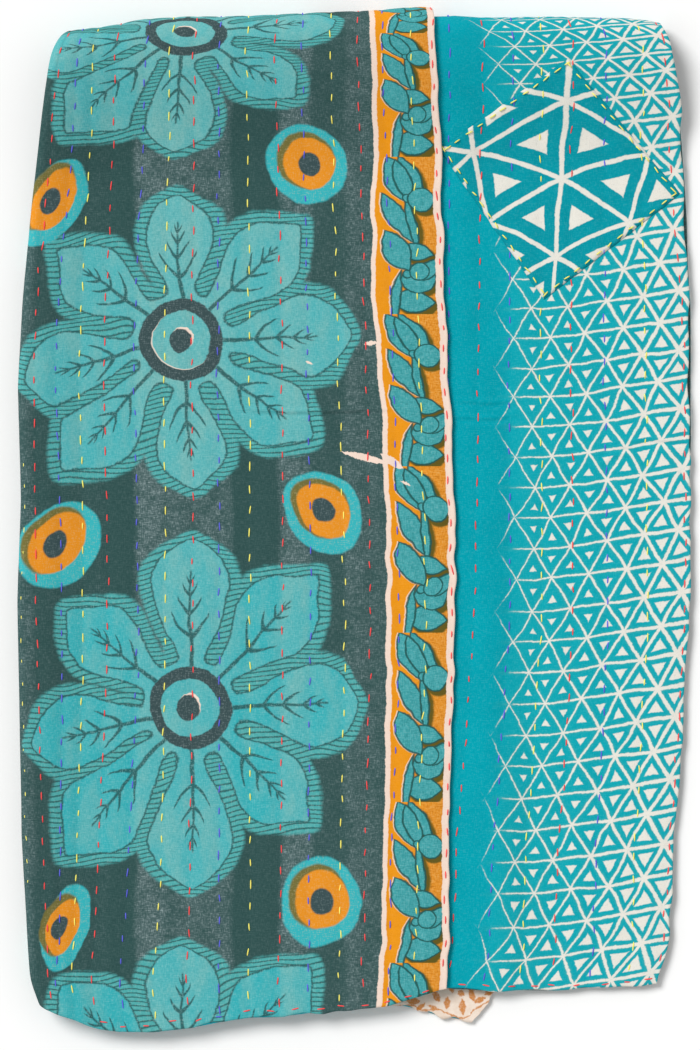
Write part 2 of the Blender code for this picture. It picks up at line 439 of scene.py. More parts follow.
def run_along(points):
    """How far each point is along its column, measured over the folds, as a height on the flat quilt."""
    steps = np.hypot(np.diff(points[:, :, 1], axis=1), np.diff(points[:, :, 2], axis=1))
    run = np.concatenate([np.zeros((len(points), 1)), np.cumsum(steps, axis=1)], axis=1)
    middle = np.argmin(abs(points[0, : points.shape[1] // 2, 1]))
    return run - run[:, middle : middle + 1] + points[:, middle : middle + 1, 1]


def swells(x, y, seed, shortest, longest):
    """A soft irregular relief, from about -1 to 1."""
    random = np.random.default_rng(seed)
    total = 0 * x
    for _ in range(14):
        length = random.uniform(shortest, longest)
        angle = random.uniform(0, math.pi)
        start = random.uniform(0, 2 * math.pi)
        total = total + np.sin(2 * math.pi * (x * math.cos(angle) + y * math.sin(angle)) / length + start)
    return total / 5.3


def crease_relief(x, y):
    """Loose creases, as soft uneven troughs with a low roll beside them."""
    total = 0 * x
    for x0, y0, x1, y1, depth, width in CREASES:
        run = np.array([x1 - x0, y1 - y0]) * MM
        length = np.hypot(*run)
        forward, sideways = run / length, np.array([-run[1], run[0]]) / length
        from_x, from_y = x - x0 * MM, y - y0 * MM
        at = (from_x * forward[0] + from_y * forward[1]) / length
        off = from_x * sideways[0] + from_y * sideways[1] + 1.5 * MM * np.sin(5 * at + x0)
        fade = ease(at, -0.15, 0.25) * (1 - ease(at, 0.7, 1.15))
        across_it = off / (width * MM)
        roll = CREASE_ROLL * np.exp(-0.5 * (across_it - ROLL_AWAY) ** 2) if depth > 0 else 0
        total = total + depth * MM * fade * (np.exp(-0.5 * across_it ** 2) - roll)
    return total


def row_relief(zone, x, y, run):
    """How far the rows of stitches draw a face in, more at each stitch."""
    rows = FLAP_ROWS if zone == FLAP else BASE_ROWS
    lines = FLAP_LINES[1:] if zone == FLAP else BASE_LINES[FIRST_BASE_ROW:]
    start, stop = zone_sides(zone, y)
    total = 0 * x
    for number, line in zip(range(len(rows)), lines):
        row_x = mix(start, stop, np.interp(y, GRID, line))
        turned = 2 * math.pi * (run - row_phase(zone, number)) / STITCH_PITCH
        depth = ROW_DEPTH + STITCH_DEPTH * np.cos(turned)
        total = np.maximum(total, depth * np.exp(-0.5 * ((x - row_x) / ROW_WIDTH) ** 2))
    return total


def row_phase(zone, number):
    """Where along a row its stitches start."""
    return STITCH_PITCH * ((0.37 * number + 0.31 * zone + 0.12 * math.sin(3.1 * number)) % 1)


def relief(zone, x, y, run, creased=1):
    """How far an outer face lies in from its CAD place."""
    pucker = PUCKER * (1 - swells(x, run, 5, 11 * MM, 26 * MM)) / 2
    swell = SWELL * (1 - swells(x, run, 8, 45 * MM, 130 * MM)) / 2
    rows = row_relief(zone, x, y, run)
    creases = crease_relief(x, y) * creased
    return np.maximum(rows, creases) + np.minimum(creases, 0) + pucker + swell


def hem_share(known):
    """1 on the cloth and less towards a hem, where it turns in."""
    near = np.minimum(known["to_edge"], known["to_end"])
    turn = 1 - np.clip(near / HEM_ROUND, 0, 1)
    return 0.12 + 0.88 * np.sqrt(1 - turn * turn)


def outer_depths(zones, stations, points, run):
    """How far in the outer face is at each point, by its zone. The loose creases are on the top."""
    zone = np.array(zones)[:, None]
    x, y = points[:, :, 0], points[:, :, 1]
    on_top = stations[1][None, :] == 0
    flap = relief(FLAP, x, y, run, on_top)
    base = relief(BASE, x, y, run, on_top)
    return np.choose(zone, [flap, 0.5 * flap, base])


def print_maps(zones, known, points, run):
    """Places on the print: across and along it, and from the free edge of the flap, in metres."""
    zone = np.array(zones)[:, None]
    place, fold_x = known["place"], known["fold_x"]
    past_fold = fold_x - math.pi * SIDE_RADIUS
    base_u = past_fold - (points[:, :, 0] - fold_x)
    dark_u = np.choose(zone, [points[:, :, 0], fold_x - SIDE_RADIUS * place, base_u])
    from_hem = np.choose(zone, [known["hem"] - (2 * fold_x - math.pi * SIDE_RADIUS - points[:, :, 0]),
                                known["hem"] - fold_x + SIDE_RADIUS * (math.pi - place),
                                known["hem"] - points[:, :, 0]])
    from_edge = np.choose(zone, [known["edge"] - points[:, :, 0],
                                 known["edge"] - fold_x + SIDE_RADIUS * place,
                                 known["edge"] - past_fold + points[:, :, 0] - fold_x])
    return dark_u, from_hem, from_edge


PRINT_EASE = 165 * UNIT  # the print is drawn together from this far below the table's top
PRINT_DRAW = 55 * UNIT
PRINT_REACH = 150 * UNIT
PRINT_POWER = 3.5
PRINT_LET_GO = 40 * UNIT


def print_height(run):
    """The height on the print, which is drawn together towards the top fold."""
    above = run - (UNITS_TOP * UNIT - PRINT_EASE)
    drawn = PRINT_DRAW * (np.clip(above, 0, PRINT_REACH) / PRINT_REACH) ** PRINT_POWER
    beyond = np.clip(above - PRINT_REACH, 0, None)
    slope = PRINT_DRAW * PRINT_POWER / PRINT_REACH
    return run + drawn + slope * PRINT_LET_GO * (1 - np.exp(-beyond / PRINT_LET_GO))


# The inner cream strip of the flap's border: heights from the top, and how far in it starts and stops
STRIP_HEIGHTS = [50, 215, 300, 385, 580, 700, 800, 900, 985]
STRIP_STARTS = [59, 67, 69, 65, 64.5, 62, 60, 63, 64]
STRIP_STOPS = [65, 71, 73, 70, 69.5, 68, 65, 67, 70]
STRIP_START, STRIP_STOP = 64.0, 69.0  # where it is on the map of the border
OUTER_STRIP = 7.4  # how wide the strip along the free edge is


def border_map(from_edge, run):
    """How far in from the free edge, in units, with the inner strip always at the same place."""
    height = UNITS_TOP - run / UNIT
    start = np.interp(height, STRIP_HEIGHTS, STRIP_STARTS)
    stop = np.interp(height, STRIP_HEIGHTS, STRIP_STOPS)
    distance = from_edge / UNIT
    first = distance * STRIP_START / start
    strip = mix(STRIP_START, STRIP_STOP, (distance - start) / (stop - start))
    return np.where(distance < start, first, np.where(distance < stop, strip, STRIP_STOP + distance - stop))


def in_frame(points):
    """Points of the tables in the CAD frame."""
    return points - np.array([SHIFT_X, SHIFT_Y, 0])


def grid_sheet(name, outer, inner, maps):
    """A closed sheet between two grids of points, with maps of its print."""
    wide, high = outer.shape[:2]
    numbers = np.arange(wide * high).reshape(wide, high)
    squares = [numbers[:-1, :-1], numbers[1:, :-1], numbers[1:, 1:], numbers[:-1, 1:]]
    front = np.stack(squares, axis=2).reshape(-1, 4)
    back = front[:, ::-1] + wide * high
    rim = np.concatenate([numbers[:-1, 0], numbers[-1, :-1], numbers[:0:-1, -1], numbers[0, :0:-1]])
    ahead = np.roll(rim, -1)
    wall = np.stack([ahead, rim, rim + wide * high, ahead + wide * high], axis=1)
    points = in_frame(np.concatenate([outer.reshape(-1, 3), inner.reshape(-1, 3)]))
    mesh = bpy.data.meshes.new(name)
    mesh.from_pydata(points.tolist(), [], np.concatenate([front, back, wall]).tolist())
    corners = np.empty(len(mesh.loops), int)
    mesh.loops.foreach_get("vertex_index", corners)
    for map_name, (u, v) in maps.items():
        pairs = np.stack([np.concatenate([u.ravel()] * 2), np.concatenate([v.ravel()] * 2)], axis=1)
        mesh.uv_layers.new(name=map_name).data.foreach_set("uv", pairs[corners].astype(np.float32).ravel())
    facing = bmesh.new()
    facing.from_mesh(mesh)
    bmesh.ops.recalc_face_normals(facing, faces=facing.faces)
    facing.to_mesh(mesh)
    facing.free()
    piece = bpy.data.objects.new(name, mesh)
    bpy.context.collection.objects.link(piece)
    mesh.shade_smooth()
    return piece


def cloth(name, face, fine_flap, fine_base):
    """One of the two cloths: face is 1 for the dark one and -1 for the turquoise one."""
    zones, columns = across(fine_flap, fine_base)
    stations = along()
    middle, known = lay(zones, columns, stations, np.array([[0.0]]))
    run = run_along(middle)
    depth = outer_depths(zones, stations, middle, run)
    thick = (QUILT / 2 - CLOTH_GAP / 2 - depth) * hem_share(known)
    near, _ = lay(zones, columns, stations, np.array([[face * CLOTH_GAP / 2]]))
    far, _ = lay(zones, columns, stations, face * (CLOTH_GAP / 2 + thick))
    dark_u, from_hem, from_edge = print_maps(zones, known, middle, run)
    height = print_height(run)
    across_map = dark_u if face > 0 else -from_hem
    maps = {"print": (across_map, height)}
    if face > 0:
        maps["border"] = (border_map(from_edge, run) * UNIT, height)
    return grid_sheet(name, far, near, maps)


def diamond_sheet():
    """The diamond patch, on the turquoise face."""
    share = np.linspace(0, 1, DIAMOND_STEPS)
    a, b = np.meshgrid(share, share, indexing="ij")
    top, right, low, left = np.array(DIAMOND) * MM
    place = [mix(mix(top[k], right[k], a), mix(left[k], low[k], a), b) for k in range(2)]
    border = np.minimum(np.minimum(a, 1 - a), np.minimum(b, 1 - b))
    ragged = swells(place[0], place[1], 31, 14 * MM, 60 * MM) * DIAMOND_HEM * (1 - ease(border, 0, 0.06))
    centre = [np.mean([corner[k] for corner in (top, right, low, left)]) for k in range(2)]
    reach = np.hypot(place[0] - centre[0], place[1] - centre[1])
    x = place[0] + ragged * (place[0] - centre[0]) / (reach + MM)
    y = place[1] + ragged * (place[1] - centre[1]) / (reach + MM)
    seat = QUILT / 2 - relief(BASE, x, y, y) + PATCH_GAP
    thick = PATCH * (0.35 + 0.65 * ease(border, 0, 0.03))
    outer = np.stack([x, y, upper_z(BASE, x, y, seat + thick)], axis=2)
    inner = np.stack([x, y, upper_z(BASE, x, y, seat)], axis=2)
    return grid_sheet("diamond_patch_cloth", outer, inner, {"print": (x, y)})


def corner_sheet():
    """The cream patch at the free corner of the lower flap, on the turquoise face."""
    last = next(c for c in np.linspace(0, 16, 161) if between(FLAP_LINES, c, -440 * MM) >= CORNER_WIDTH)
    columns = np.linspace(0, last, 60)
    zones = [FLAP] * len(columns)
    stations = np.linspace(0, CORNER_LENGTH, 70), np.full(70, math.pi)
    seat = QUILT / 2 + PATCH_GAP
    outer, known = lay(zones, columns, stations, np.array([[-seat - PATCH]]))
    inner, _ = lay(zones, columns, stations, np.array([[-seat]]))
    low = 1 - ease(known["to_end"], 0, 6 * MM)
    wide = 1 - ease(known["to_edge"], 0, 6 * MM)
    for face in (outer, inner):
        x, y = face[:, :, 0].copy(), face[:, :, 1].copy()
        face[:, :, 1] -= CORNER_FRAY * low * (0.4 + swells(x, 0 * x, 41, 5 * MM, 22 * MM))
        face[:, :, 0] += CORNER_FRAY * wide * (0.4 + swells(0 * y, y, 43, 5 * MM, 22 * MM))
    return grid_sheet("corner_patch_cloth", outer, inner, {"print": (outer[:, :, 0], outer[:, :, 1])})


def stitch_at(centre, forward, up, bend):
    """The points of one stitch, a thin arch of thread. bend gives a place and a way up for each ring."""
    sideways = np.cross(forward, up)
    points = []
    for ring, (place, lift) in zip(RINGS, bend):
        thin = THREAD * (1 - 0.35 * abs(ring) ** 3)
        for step in range(SIDES_ROUND):
            angle = 2 * math.pi * step / SIDES_ROUND
            points.append(centre + place * forward + sideways * thin * math.cos(angle)
                          + up * (lift + thin * math.sin(angle)))
    return points


def arch(half):
    """Where along a stitch its rings are, and how far out of the cloth."""
    return [(ring * half, STITCH_ARCH * (0.35 - 1.25 * abs(ring) ** 2.4)) for ring in RINGS]


def unit(vectors):
    return vectors / np.linalg.norm(vectors, axis=-1, keepdims=True)


def row_stitches(zone, column, number, face, start, stop, random):
    """The stitches of one row, from one end of the cloth over the top fold to the other."""
    stations = along()
    seat = face * (QUILT / 2 - ROW_DEPTH - 0.5 * STITCH_DEPTH)
    points, _ = lay([zone], [column], stations, np.array([[seat]]))
    above, _ = lay([zone], [column], stations, np.array([[seat + face * MM]]))
    aside, _ = lay([zone], [column + 0.02], stations, np.array([[seat]]))
    run = run_along(points)[0]
    points, above, aside = in_frame(points[0]), in_frame(above[0]), in_frame(aside[0])
    places = np.arange(run[0] + STITCH_PITCH / 2, run[-1] - STITCH / 2, STITCH_PITCH)
    places = places - (places[0] - row_phase(zone, number)) % STITCH_PITCH + STITCH_PITCH
    made = []
    for place in places:
        place = place + random.normal() * 0.9 * MM
        half = STITCH + random.normal() * 0.5 * MM
        off = random.normal() * 0.45 * MM
        lean = random.normal() * 0.06
        if not (run[0] + 1.2 * half < place < run[-1] - 1.2 * half and start <= place <= stop):
            continue
        at = [np.interp([place - half, place, place + half], run, points[:, k]) for k in range(3)]
        first, centre, last = np.array(at).T
        up = unit(np.array([np.interp(place, run, (above - points)[:, k]) for k in range(3)]))
        across_row = np.array([np.interp(place, run, (aside - points)[:, k]) for k in range(3)])
        across_row = unit(across_row - up * across_row.dot(up))
        forward = unit(last - first + across_row * lean * 2 * half)
        made.append(stitch_at(centre + across_row * off, forward, up, arch(half)))
    return made


def flat_stitch(zone, x, y, heading, extra, random, half=STITCH):
    """A single stitch on the upper half: its place, and its heading in degrees from across."""
    run = y
    out = QUILT / 2 - relief(zone, x, y, run) + extra
    z = upper_z(zone, x, y, out)
    angle = math.radians(heading) + random.normal() * 0.05
    forward = np.array([math.cos(angle), math.sin(angle), 0])
    reach = half + random.normal() * 0.3 * MM
    centre = in_frame(np.array([float(x), float(y), float(z)]))
    return stitch_at(centre, forward, np.array([0, 0, 1.0]), arch(reach))


# Stitches of the bottom hems, one by one, in units from the left and from the top
FLAP_HEM = [
    [102, 1024], [122, 1029], [145, 1028], [172, 1023], [198, 1022], [246, 1013], [270, 1013],
    [295, 1011], [321, 1011], [341, 1008], [366, 1008], [387, 1004], [408, 1003], [426, 997],
]
FLAP_HEM_BLUE = [[218, 1019]]
BASE_HEM = [
    [463, 987], [487, 988], [512, 989], [535, 989], [553, 988], [578, 989], [607, 988], [629, 985],
    [650, 982],
]


def at_units(x, y):
    return np.array((x - UNITS_LEFT) * UNIT), np.array((UNITS_TOP - y) * UNIT)


def hem_stitches(spots, zone, random):
    """The stitches along a bottom hem."""
    name = "flap" if zone == FLAP else "base"
    made = []
    for x, y in spots:
        x, y = at_units(x, y)
        lowest = end(name, x)
        y = np.maximum(y, lowest + 3.2 * MM)
        slope = math.degrees(math.atan2(end(name, x + 5 * MM) - lowest, 5 * MM))
        made.append(flat_stitch(zone, x, y, slope, 0, random))
    return made


PATCH_STITCH = 3.1 * MM  # half the length of a stitch of the patch
PATCH_PITCH = 12.6 * MM
PATCH_INWARD = 3.2 * MM


def diamond_stitches(random):
    """Small stitches round the diamond patch."""
    corners = np.array(DIAMOND) * MM
    centre = corners.mean(axis=0)
    made = []
    for first, second in zip(corners, np.roll(corners, -1, axis=0)):
        run = second - first
        length = np.hypot(*run)
        inward = np.array([run[1], -run[0]]) / length
        if inward.dot(centre - first) < 0:
            inward = -inward
        for step in np.arange(0.5, length / PATCH_PITCH):
            ahead = step * PATCH_PITCH + random.normal() * 0.8 * MM
            place = first + run * ahead / length + inward * PATCH_INWARD
            heading = math.degrees(math.atan2(run[1], run[0])) + random.normal() * 5
            if place[0] > side("flap", place[1]) + MM:
                raised = PATCH + PATCH_GAP
                made.append(flat_stitch(BASE, *place, heading, raised, random, PATCH_STITCH))
    return made


def on_diamond(x, y):
    """Whether a place is on the diamond patch."""
    corners = np.array(DIAMOND) * MM
    turns = [np.cross(second - first, np.array([x, y]) - first)
             for first, second in zip(corners, np.roll(corners, -1, axis=0))]
    return all(turn < 0 for turn in turns)


ROLL_ROW_ANGLE = 0.5
ROLL_ROW = [-349 * MM, 70 * MM]


def all_stitches():
    """Every stitch by colour."""
    random = np.random.default_rng(17)
    made = {"red": [], "yellow": [], "blue": []}
    for number, (colour, _) in enumerate(FLAP_ROWS):
        made[colour] += row_stitches(FLAP, number + 1, number, 1, -1, 3, random)
    for number, (colour, _) in enumerate(BASE_ROWS):
        made[colour] += row_stitches(BASE, FIRST_BASE_ROW + number, number, -1, -1, 3, random)
    made["yellow"] += row_stitches(FOLD, ROLL_ROW_ANGLE, 4, 1, *ROLL_ROW, random)
    made["red"] += hem_stitches(FLAP_HEM, FLAP, random) + hem_stitches(BASE_HEM, BASE, random)
    made["blue"] += hem_stitches(FLAP_HEM_BLUE, FLAP, random)
    made["yellow"] += diamond_stitches(random)
    return made


def lifted_on_patch(stitches):
    """Rows that cross the diamond patch lie on it, and those under the stack are pressed flat."""
    result = []
    for points in stitches:
        points = np.array(points)
        middle = points.mean(axis=0) + np.array([SHIFT_X, SHIFT_Y, 0])
        if on_diamond(middle[0], middle[1]) and middle[2] > QUILT + PITCH:
            points[:, 2] += PATCH + PATCH_GAP
        points[:, 2] = np.maximum(points[:, 2], 0)
        result.append(points)
    return result


def thread_piece(name, stitches):
    """All the stitches of one colour, as one piece."""
    per = len(RINGS) * SIDES_ROUND
    faces = []
    for ring in range(len(RINGS) - 1):
        for step in range(SIDES_ROUND):
            ahead = (step + 1) % SIDES_ROUND
            low, high = ring * SIDES_ROUND, (ring + 1) * SIDES_ROUND
            faces.append([low + step, low + ahead, high + ahead, high + step])
    faces += [list(range(SIDES_ROUND))[::-1], list(range(per - SIDES_ROUND, per))]
    shape = [[corner + number * per for corner in face] for number in range(len(stitches)) for face in faces]
    mesh = bpy.data.meshes.new(name)
    mesh.from_pydata(np.concatenate(stitches).tolist(), [], shape)
    facing = bmesh.new()
    facing.from_mesh(mesh)
    bmesh.ops.recalc_face_normals(facing, faces=facing.faces)
    facing.to_mesh(mesh)
    facing.free()
    piece = bpy.data.objects.new(name, mesh)
    bpy.context.collection.objects.link(piece)
    mesh.shade_smooth()
    return piece


class Number:
    """A value worked out by the nodes of a material, for plain arithmetic."""

    def __init__(self, net, socket):
        self.net = net
        self.socket = socket

    def __add__(self, other):
        return self.net.math("ADD", self, other)

    def __radd__(self, other):
        return self.net.math("ADD", other, self)

    def __sub__(self, other):
        return self.net.math("SUBTRACT", self, other)

    def __rsub__(self, other):
        return self.net.math("SUBTRACT", other, self)

    def __mul__(self, other):
        return self.net.math("MULTIPLY", self, other)

    def __rmul__(self, other):
        return self.net.math("MULTIPLY", other, self)

    def __truediv__(self, other):
        return self.net.math("DIVIDE", self, other)

    def __rtruediv__(self, other):
        return self.net.math("DIVIDE", other, self)

    def __neg__(self):
        return self.net.math("MULTIPLY", self, -1)

    def __abs__(self):
        return self.net.math("ABSOLUTE", self)


class Net:
    """The nodes of one material."""

    def __init__(self, name):
        self.material = bpy.data.materials.new(name)
        self.material.use_nodes = True
        self.tree = self.material.node_tree
        self.surface = self.tree.nodes["Principled BSDF"]

    def node(self, kind, settings, sockets):
        """Any node, with its settings and what goes into its sockets."""
        made = self.tree.nodes.new("ShaderNode" + kind)
        for key, value in settings.items():
            setattr(made, key, value)
        for key, value in sockets.items():
            self.give(made.inputs[key], value)
        return made

    def give(self, socket, value):
        if isinstance(value, Number):
            self.tree.links.new(value.socket, socket)
        else:
            socket.default_value = value

    def math(self, operation, *values):
        return Number(self, self.node("Math", {"operation": operation}, dict(enumerate(values))).outputs[0])

    def vector(self, operation, *values):
        """Vector maths, with the vector that comes out."""
        made = self.node("VectorMath", {"operation": operation}, dict(enumerate(values)))
        return Number(self, made.outputs[0])

    def length(self, vector):
        return Number(self, self.node("VectorMath", {"operation": "LENGTH"}, {0: vector}).outputs[1])

    def dot(self, first, second):
        made = self.node("VectorMath", {"operation": "DOT_PRODUCT"}, {0: first, 1: second})
        return Number(self, made.outputs[1])

    def spot(self, x, y, z=0.0):
        return Number(self, self.node("CombineXYZ", {}, {0: x, 1: y, 2: z}).outputs[0])

    def parts(self, vector):
        made = self.node("SeparateXYZ", {}, {0: vector})
        return [Number(self, made.outputs[k]) for k in range(3)]

    def map(self, name):
        """Across and along on one of the piece's maps."""
        return self.parts(Number(self, self.node("UVMap", {"uv_map": name}, {}).outputs[0]))[:2]

    def into(self, point, centre, turn, reach):
        """A point as seen from a turned and stretched figure, whose rim is at 1."""
        turn = turn if isinstance(turn, Number) else (0, 0, turn)
        made = self.node("Mapping", {"vector_type": "TEXTURE"}, {0: point, 1: centre, 2: turn, 3: reach})
        return Number(self, made.outputs[0])

    def choose(self, share, first, second):
        """First where share is 0 and second where it is 1, for vectors."""
        settings = {"data_type": "VECTOR", "clamp_factor": False}
        made = self.node("Mix", settings, {0: share, 4: first, 5: second})
        return Number(self, made.outputs[1])

    def blend(self, share, first, second):
        """First where share is 0 and second where it is 1, for colours."""
        made = self.node("Mix", {"data_type": "RGBA"}, {0: share, 6: first, 7: second})
        return Number(self, made.outputs[2])

    def over(self, value, edge, soft):
        """1 where a value is over an edge and 0 where it is under, with a soft turn."""
        return self.turn(value, edge - soft, edge + soft, 0.0, 1.0)

    def under(self, value, edge, soft):
        return self.turn(value, edge - soft, edge + soft, 1.0, 0.0)

    def turn(self, value, start, stop, first, last):
        made = self.node("MapRange", {"interpolation_type": "SMOOTHSTEP"},
                         {0: value, 1: start, 2: stop, 3: first, 4: last})
        return Number(self, made.outputs[0])

    def noise(self, point, scale, detail=2.0, rough=0.5):
        sockets = {"Vector": point, "Scale": scale, "Detail": detail, "Roughness": rough}
        made = self.node("TexNoise", {}, sockets)
        return Number(self, made.outputs["Fac"])

    def wander(self, point, scale, size):
        """A point moved a little this way and that, as a hand-cut block or a loose cloth moves a print."""
        made = self.node("TexNoise", {}, {"Vector": point, "Scale": scale, "Detail": 1.0})
        away = self.vector("SUBTRACT", Number(self, made.outputs["Color"]), (0.5, 0.5, 0.5))
        return self.vector("MULTIPLY_ADD", away, (size, size, 0), point)

    def curve(self, value, points, straight=False):
        """A value read from a drawn curve, given as pairs."""
        xs, ys = np.array(points, float).T
        wide, low, high = xs[-1] - xs[0], ys.min(), max(ys.max(), ys.min() + 1e-6)
        made = self.node("FloatCurve", {}, {1: (value - float(xs[0])) * float(1 / wide)})
        line = made.mapping.curves[0]
        shares = [(float((x - xs[0]) / wide), float((y - low) / (high - low))) for x, y in points]
        line.points[0].location = shares[0]
        line.points[1].location = shares[-1]
        for x, y in shares[1:-1]:
            line.points.new(x, y)
        for point in line.points:
            point.handle_type = "VECTOR" if straight else "AUTO_CLAMPED"
        made.mapping.update()
        return Number(self, made.outputs[0]) * float(high - low) + float(low)


def linear(colour):
    """A colour given as on a screen, from 0 to 255, as the shaders take it."""
    values = np.array(colour) / 255
    return (*np.where(values <= 0.04045, values / 12.92, ((values + 0.055) / 1.055) ** 2.4), 1.0)


# Colours, as on a screen
GROUND = linear((49, 81, 79))
GROUND_DEEP = linear((38, 68, 67))
GROUND_WASHED = linear((92, 113, 114))
FLECK = linear((150, 168, 168))
PETAL = linear((54, 176, 183))
PETAL_WASHED = linear((118, 184, 181))
PETAL_THREAD = linear((178, 216, 214))
PETAL_DEEP = linear((34, 140, 148))
ROUND_THREAD = linear((222, 206, 160))
HATCH = linear((82, 172, 170))
INK = linear((40, 76, 75))
RING = linear((58, 78, 80))
ORANGE = linear((226, 143, 36))
ORANGE_LEFT = linear((232, 149, 24))
ORANGE_RIGHT = linear((220, 143, 48))
OLIVE = linear((112, 107, 58))
VINE = linear((60, 154, 158))
VINE_PALE = linear((84, 174, 178))
VINE_INK = linear((34, 80, 76))
VINE_SHADE = linear((86, 82, 32))
CREAM = linear((240, 217, 201))
LATTICE_CREAM = linear((233, 228, 217))
TURQUOISE = linear((0, 162, 177))
TURQUOISE_DEEP = linear((0, 149, 164))
BAND = linear((22, 168, 177))
BESIDE_LINE = linear((62, 165, 166))
PATCH_TEAL = linear((4, 151, 165))
PATCH_DEEP = linear((2, 138, 152))
CORNER_CREAM = linear((241, 224, 208))
OCHRE = linear((203, 124, 38))
ORANGE_THREAD = linear((230, 180, 108))
ORANGE_DEEP = linear((166, 92, 20))
STRIP_DEEP = linear((196, 160, 140))
TURQUOISE_THREAD = linear((120, 206, 210))
TURQUOISE_SHADE = linear((0, 116, 130))
PATCH_THREAD = linear((120, 200, 204))
PATCH_SHADE = linear((0, 108, 122))
CORNER_WORN = linear((222, 196, 172))
CORNER_THREAD = linear((250, 240, 228))
THREADS = {
    "red": linear((252, 84, 84)),
    "yellow": linear((255, 246, 118)),
    "blue": linear((98, 104, 226)),
}
THREAD_SHADES = {
    "red": linear((206, 50, 58)),
    "yellow": linear((230, 208, 84)),
    "blue": linear((72, 76, 184)),
}


def woven(net, x, y):
    """The uneven threads of hand-spun cotton both ways, about 0.5, in print units."""
    weft = net.noise(net.spot(x * 0.2, y * 0.95), 1.0, 2.0, 0.6)
    warp = net.noise(net.spot(x * 0.95, y * 0.2, 7.0), 1.0, 2.0, 0.6)
    return weft + warp - 0.5


def pale_threads(net, threads):
    return net.over(threads, 0.62, 0.12)


def deep_threads(net, threads):
    return net.under(threads, 0.38, 0.12)


def fine_weave(net, x, y):
    """The single threads, over and under each other."""
    over = net.math("SINE", x * 5.2)
    under = net.math("SINE", y * 4.7)
    return over * under * 0.5 + 0.5


def finish_cotton(net, colour, threads, weave, rough=0.9):
    """The shader of a soft matt cotton, its threads in the light."""
    net.give(net.surface.inputs["Base Color"], colour)
    net.surface.inputs["Roughness"].default_value = rough
    net.surface.inputs["Specular IOR Level"].default_value = 0.06
    height = threads * 0.5 + weave * 0.3
    bump = net.node("Bump", {}, {"Strength": 0.5, "Distance": 0.5 * MM, "Height": height})
    net.give(net.surface.inputs["Normal"], Number(net, bump.outputs[0]))
    return net.material


# Where one flower of the print gives way to the next, in units from the top. Above the first they repeat.
FLOWER_CHANGES = [170, 515, 925]
FLOWERS_REPEAT = [-178.0, 169.0]
FLOWER_CENTRES = [(186, -9, 0), (180.5, 339, 0), (189.8, 708.9, 0), (182, 1108, 0)]

# The eight petals: whether it has a square tip, and its tip from the middle of each of the four flowers
PETALS = [
    (False, [(0, -150), (-2, -148), (0, -171), (0, -163)]),
    (True, [(120, -118), (120, -118), (128, -135), (128, -140)]),
    (False, [(153, -28), (172, -5), (173, -5), (171, 0)]),
    (True, [(112, 102), (132, 100), (120, 116), (120, 116)]),
    (False, [(-13, 160), (13, 151), (0, 181), (0, 175)]),
    (True, [(-120, 143), (-120, 132), (-126, 147), (-124, 140)]),
    (False, [(-158, 43), (-158, 41), (-160, 36), (-160, 36)]),
    (True, [(-125, -95), (-126, -89), (-125, -100), (-125, -120)]),
]
# Half the width of a petal along it, both as shares of its length
PETAL_WIDTH = [
    (-0.2, -0.4), (0.12, -0.1), (0.2, 0.04), (0.28, 0.065), (0.4, 0.108), (0.5, 0.163),
    (0.62, 0.215), (0.73, 0.235), (0.85, 0.195), (0.93, 0.115), (1.0, 0.0), (1.2, -0.33),
]
SQUARE_WIDTH = [
    (-0.2, -0.4), (0.12, -0.1), (0.2, 0.04), (0.28, 0.065), (0.4, 0.112), (0.5, 0.16),
    (0.6, 0.205), (0.7, 0.222), (0.8, 0.192), (0.9, 0.1), (1.0, 0.0), (1.2, -0.2),
]
PETAL_LEAN = 0.68  # how much nearer its edge is beside the tip than straight across
MIDDLE = 48.0
MELT = 17.0
HATCH_GAP = 5.6  # half the least gap between two petals
HATCH_WIDE = 12.0
HATCH_STEP = 5.1
HATCH_SLANT = 0.1
HATCH_BEND = 34.0
OUTLINE = 0.95
RING_OUT, RING_IN, DOT = 41.5, 28.8, 11.4

# The veins of a petal: where each pair of branches leaves the stem, how far out it goes and how far it rises
BRANCHES = [(0.43, 19.0, 23.0), (0.56, 12.0, 15.0), (0.66, 7.5, 11.0), (0.73, 4.0, 7.0)]
STEM_END = 0.8


class Flowers:
    """Which of the printed flowers a place belongs to."""

    def __init__(self, net, y):
        self.net = net
        self.past = [net.math("GREATER_THAN", y, change) for change in FLOWER_CHANGES]

    def own(self, values):
        """One of four vectors, as constants, that belongs to the flower here."""
        chosen = (*values[0], 0)[:3]
        for past, value in zip(self.past, values[1:]):
            chosen = self.net.choose(past, chosen, (*value, 0)[:3])
        return chosen


def petal(net, flowers, point, square, tips):
    """How far a point is outside a petal, and its place along and beside the petal's middle."""
    tip = flowers.own(tips)
    size = net.length(tip)
    heading = net.vector("NORMALIZE", tip)
    ahead = net.dot(point, heading)
    beside = net.length(net.vector("CROSS_PRODUCT", heading, point))
    share = ahead / size
    width = net.curve(share, SQUARE_WIDTH if square else PETAL_WIDTH)
    lean = net.turn(share, 0.76, 0.94, 0.97, PETAL_LEAN)
    blunt = net.turn(share, 0.9, 1.16, 0.3, 10.0)
    outside = (net.math("SQRT", beside * beside + blunt * blunt) - width * size) * lean
    return outside, net.spot(ahead, beside, size)


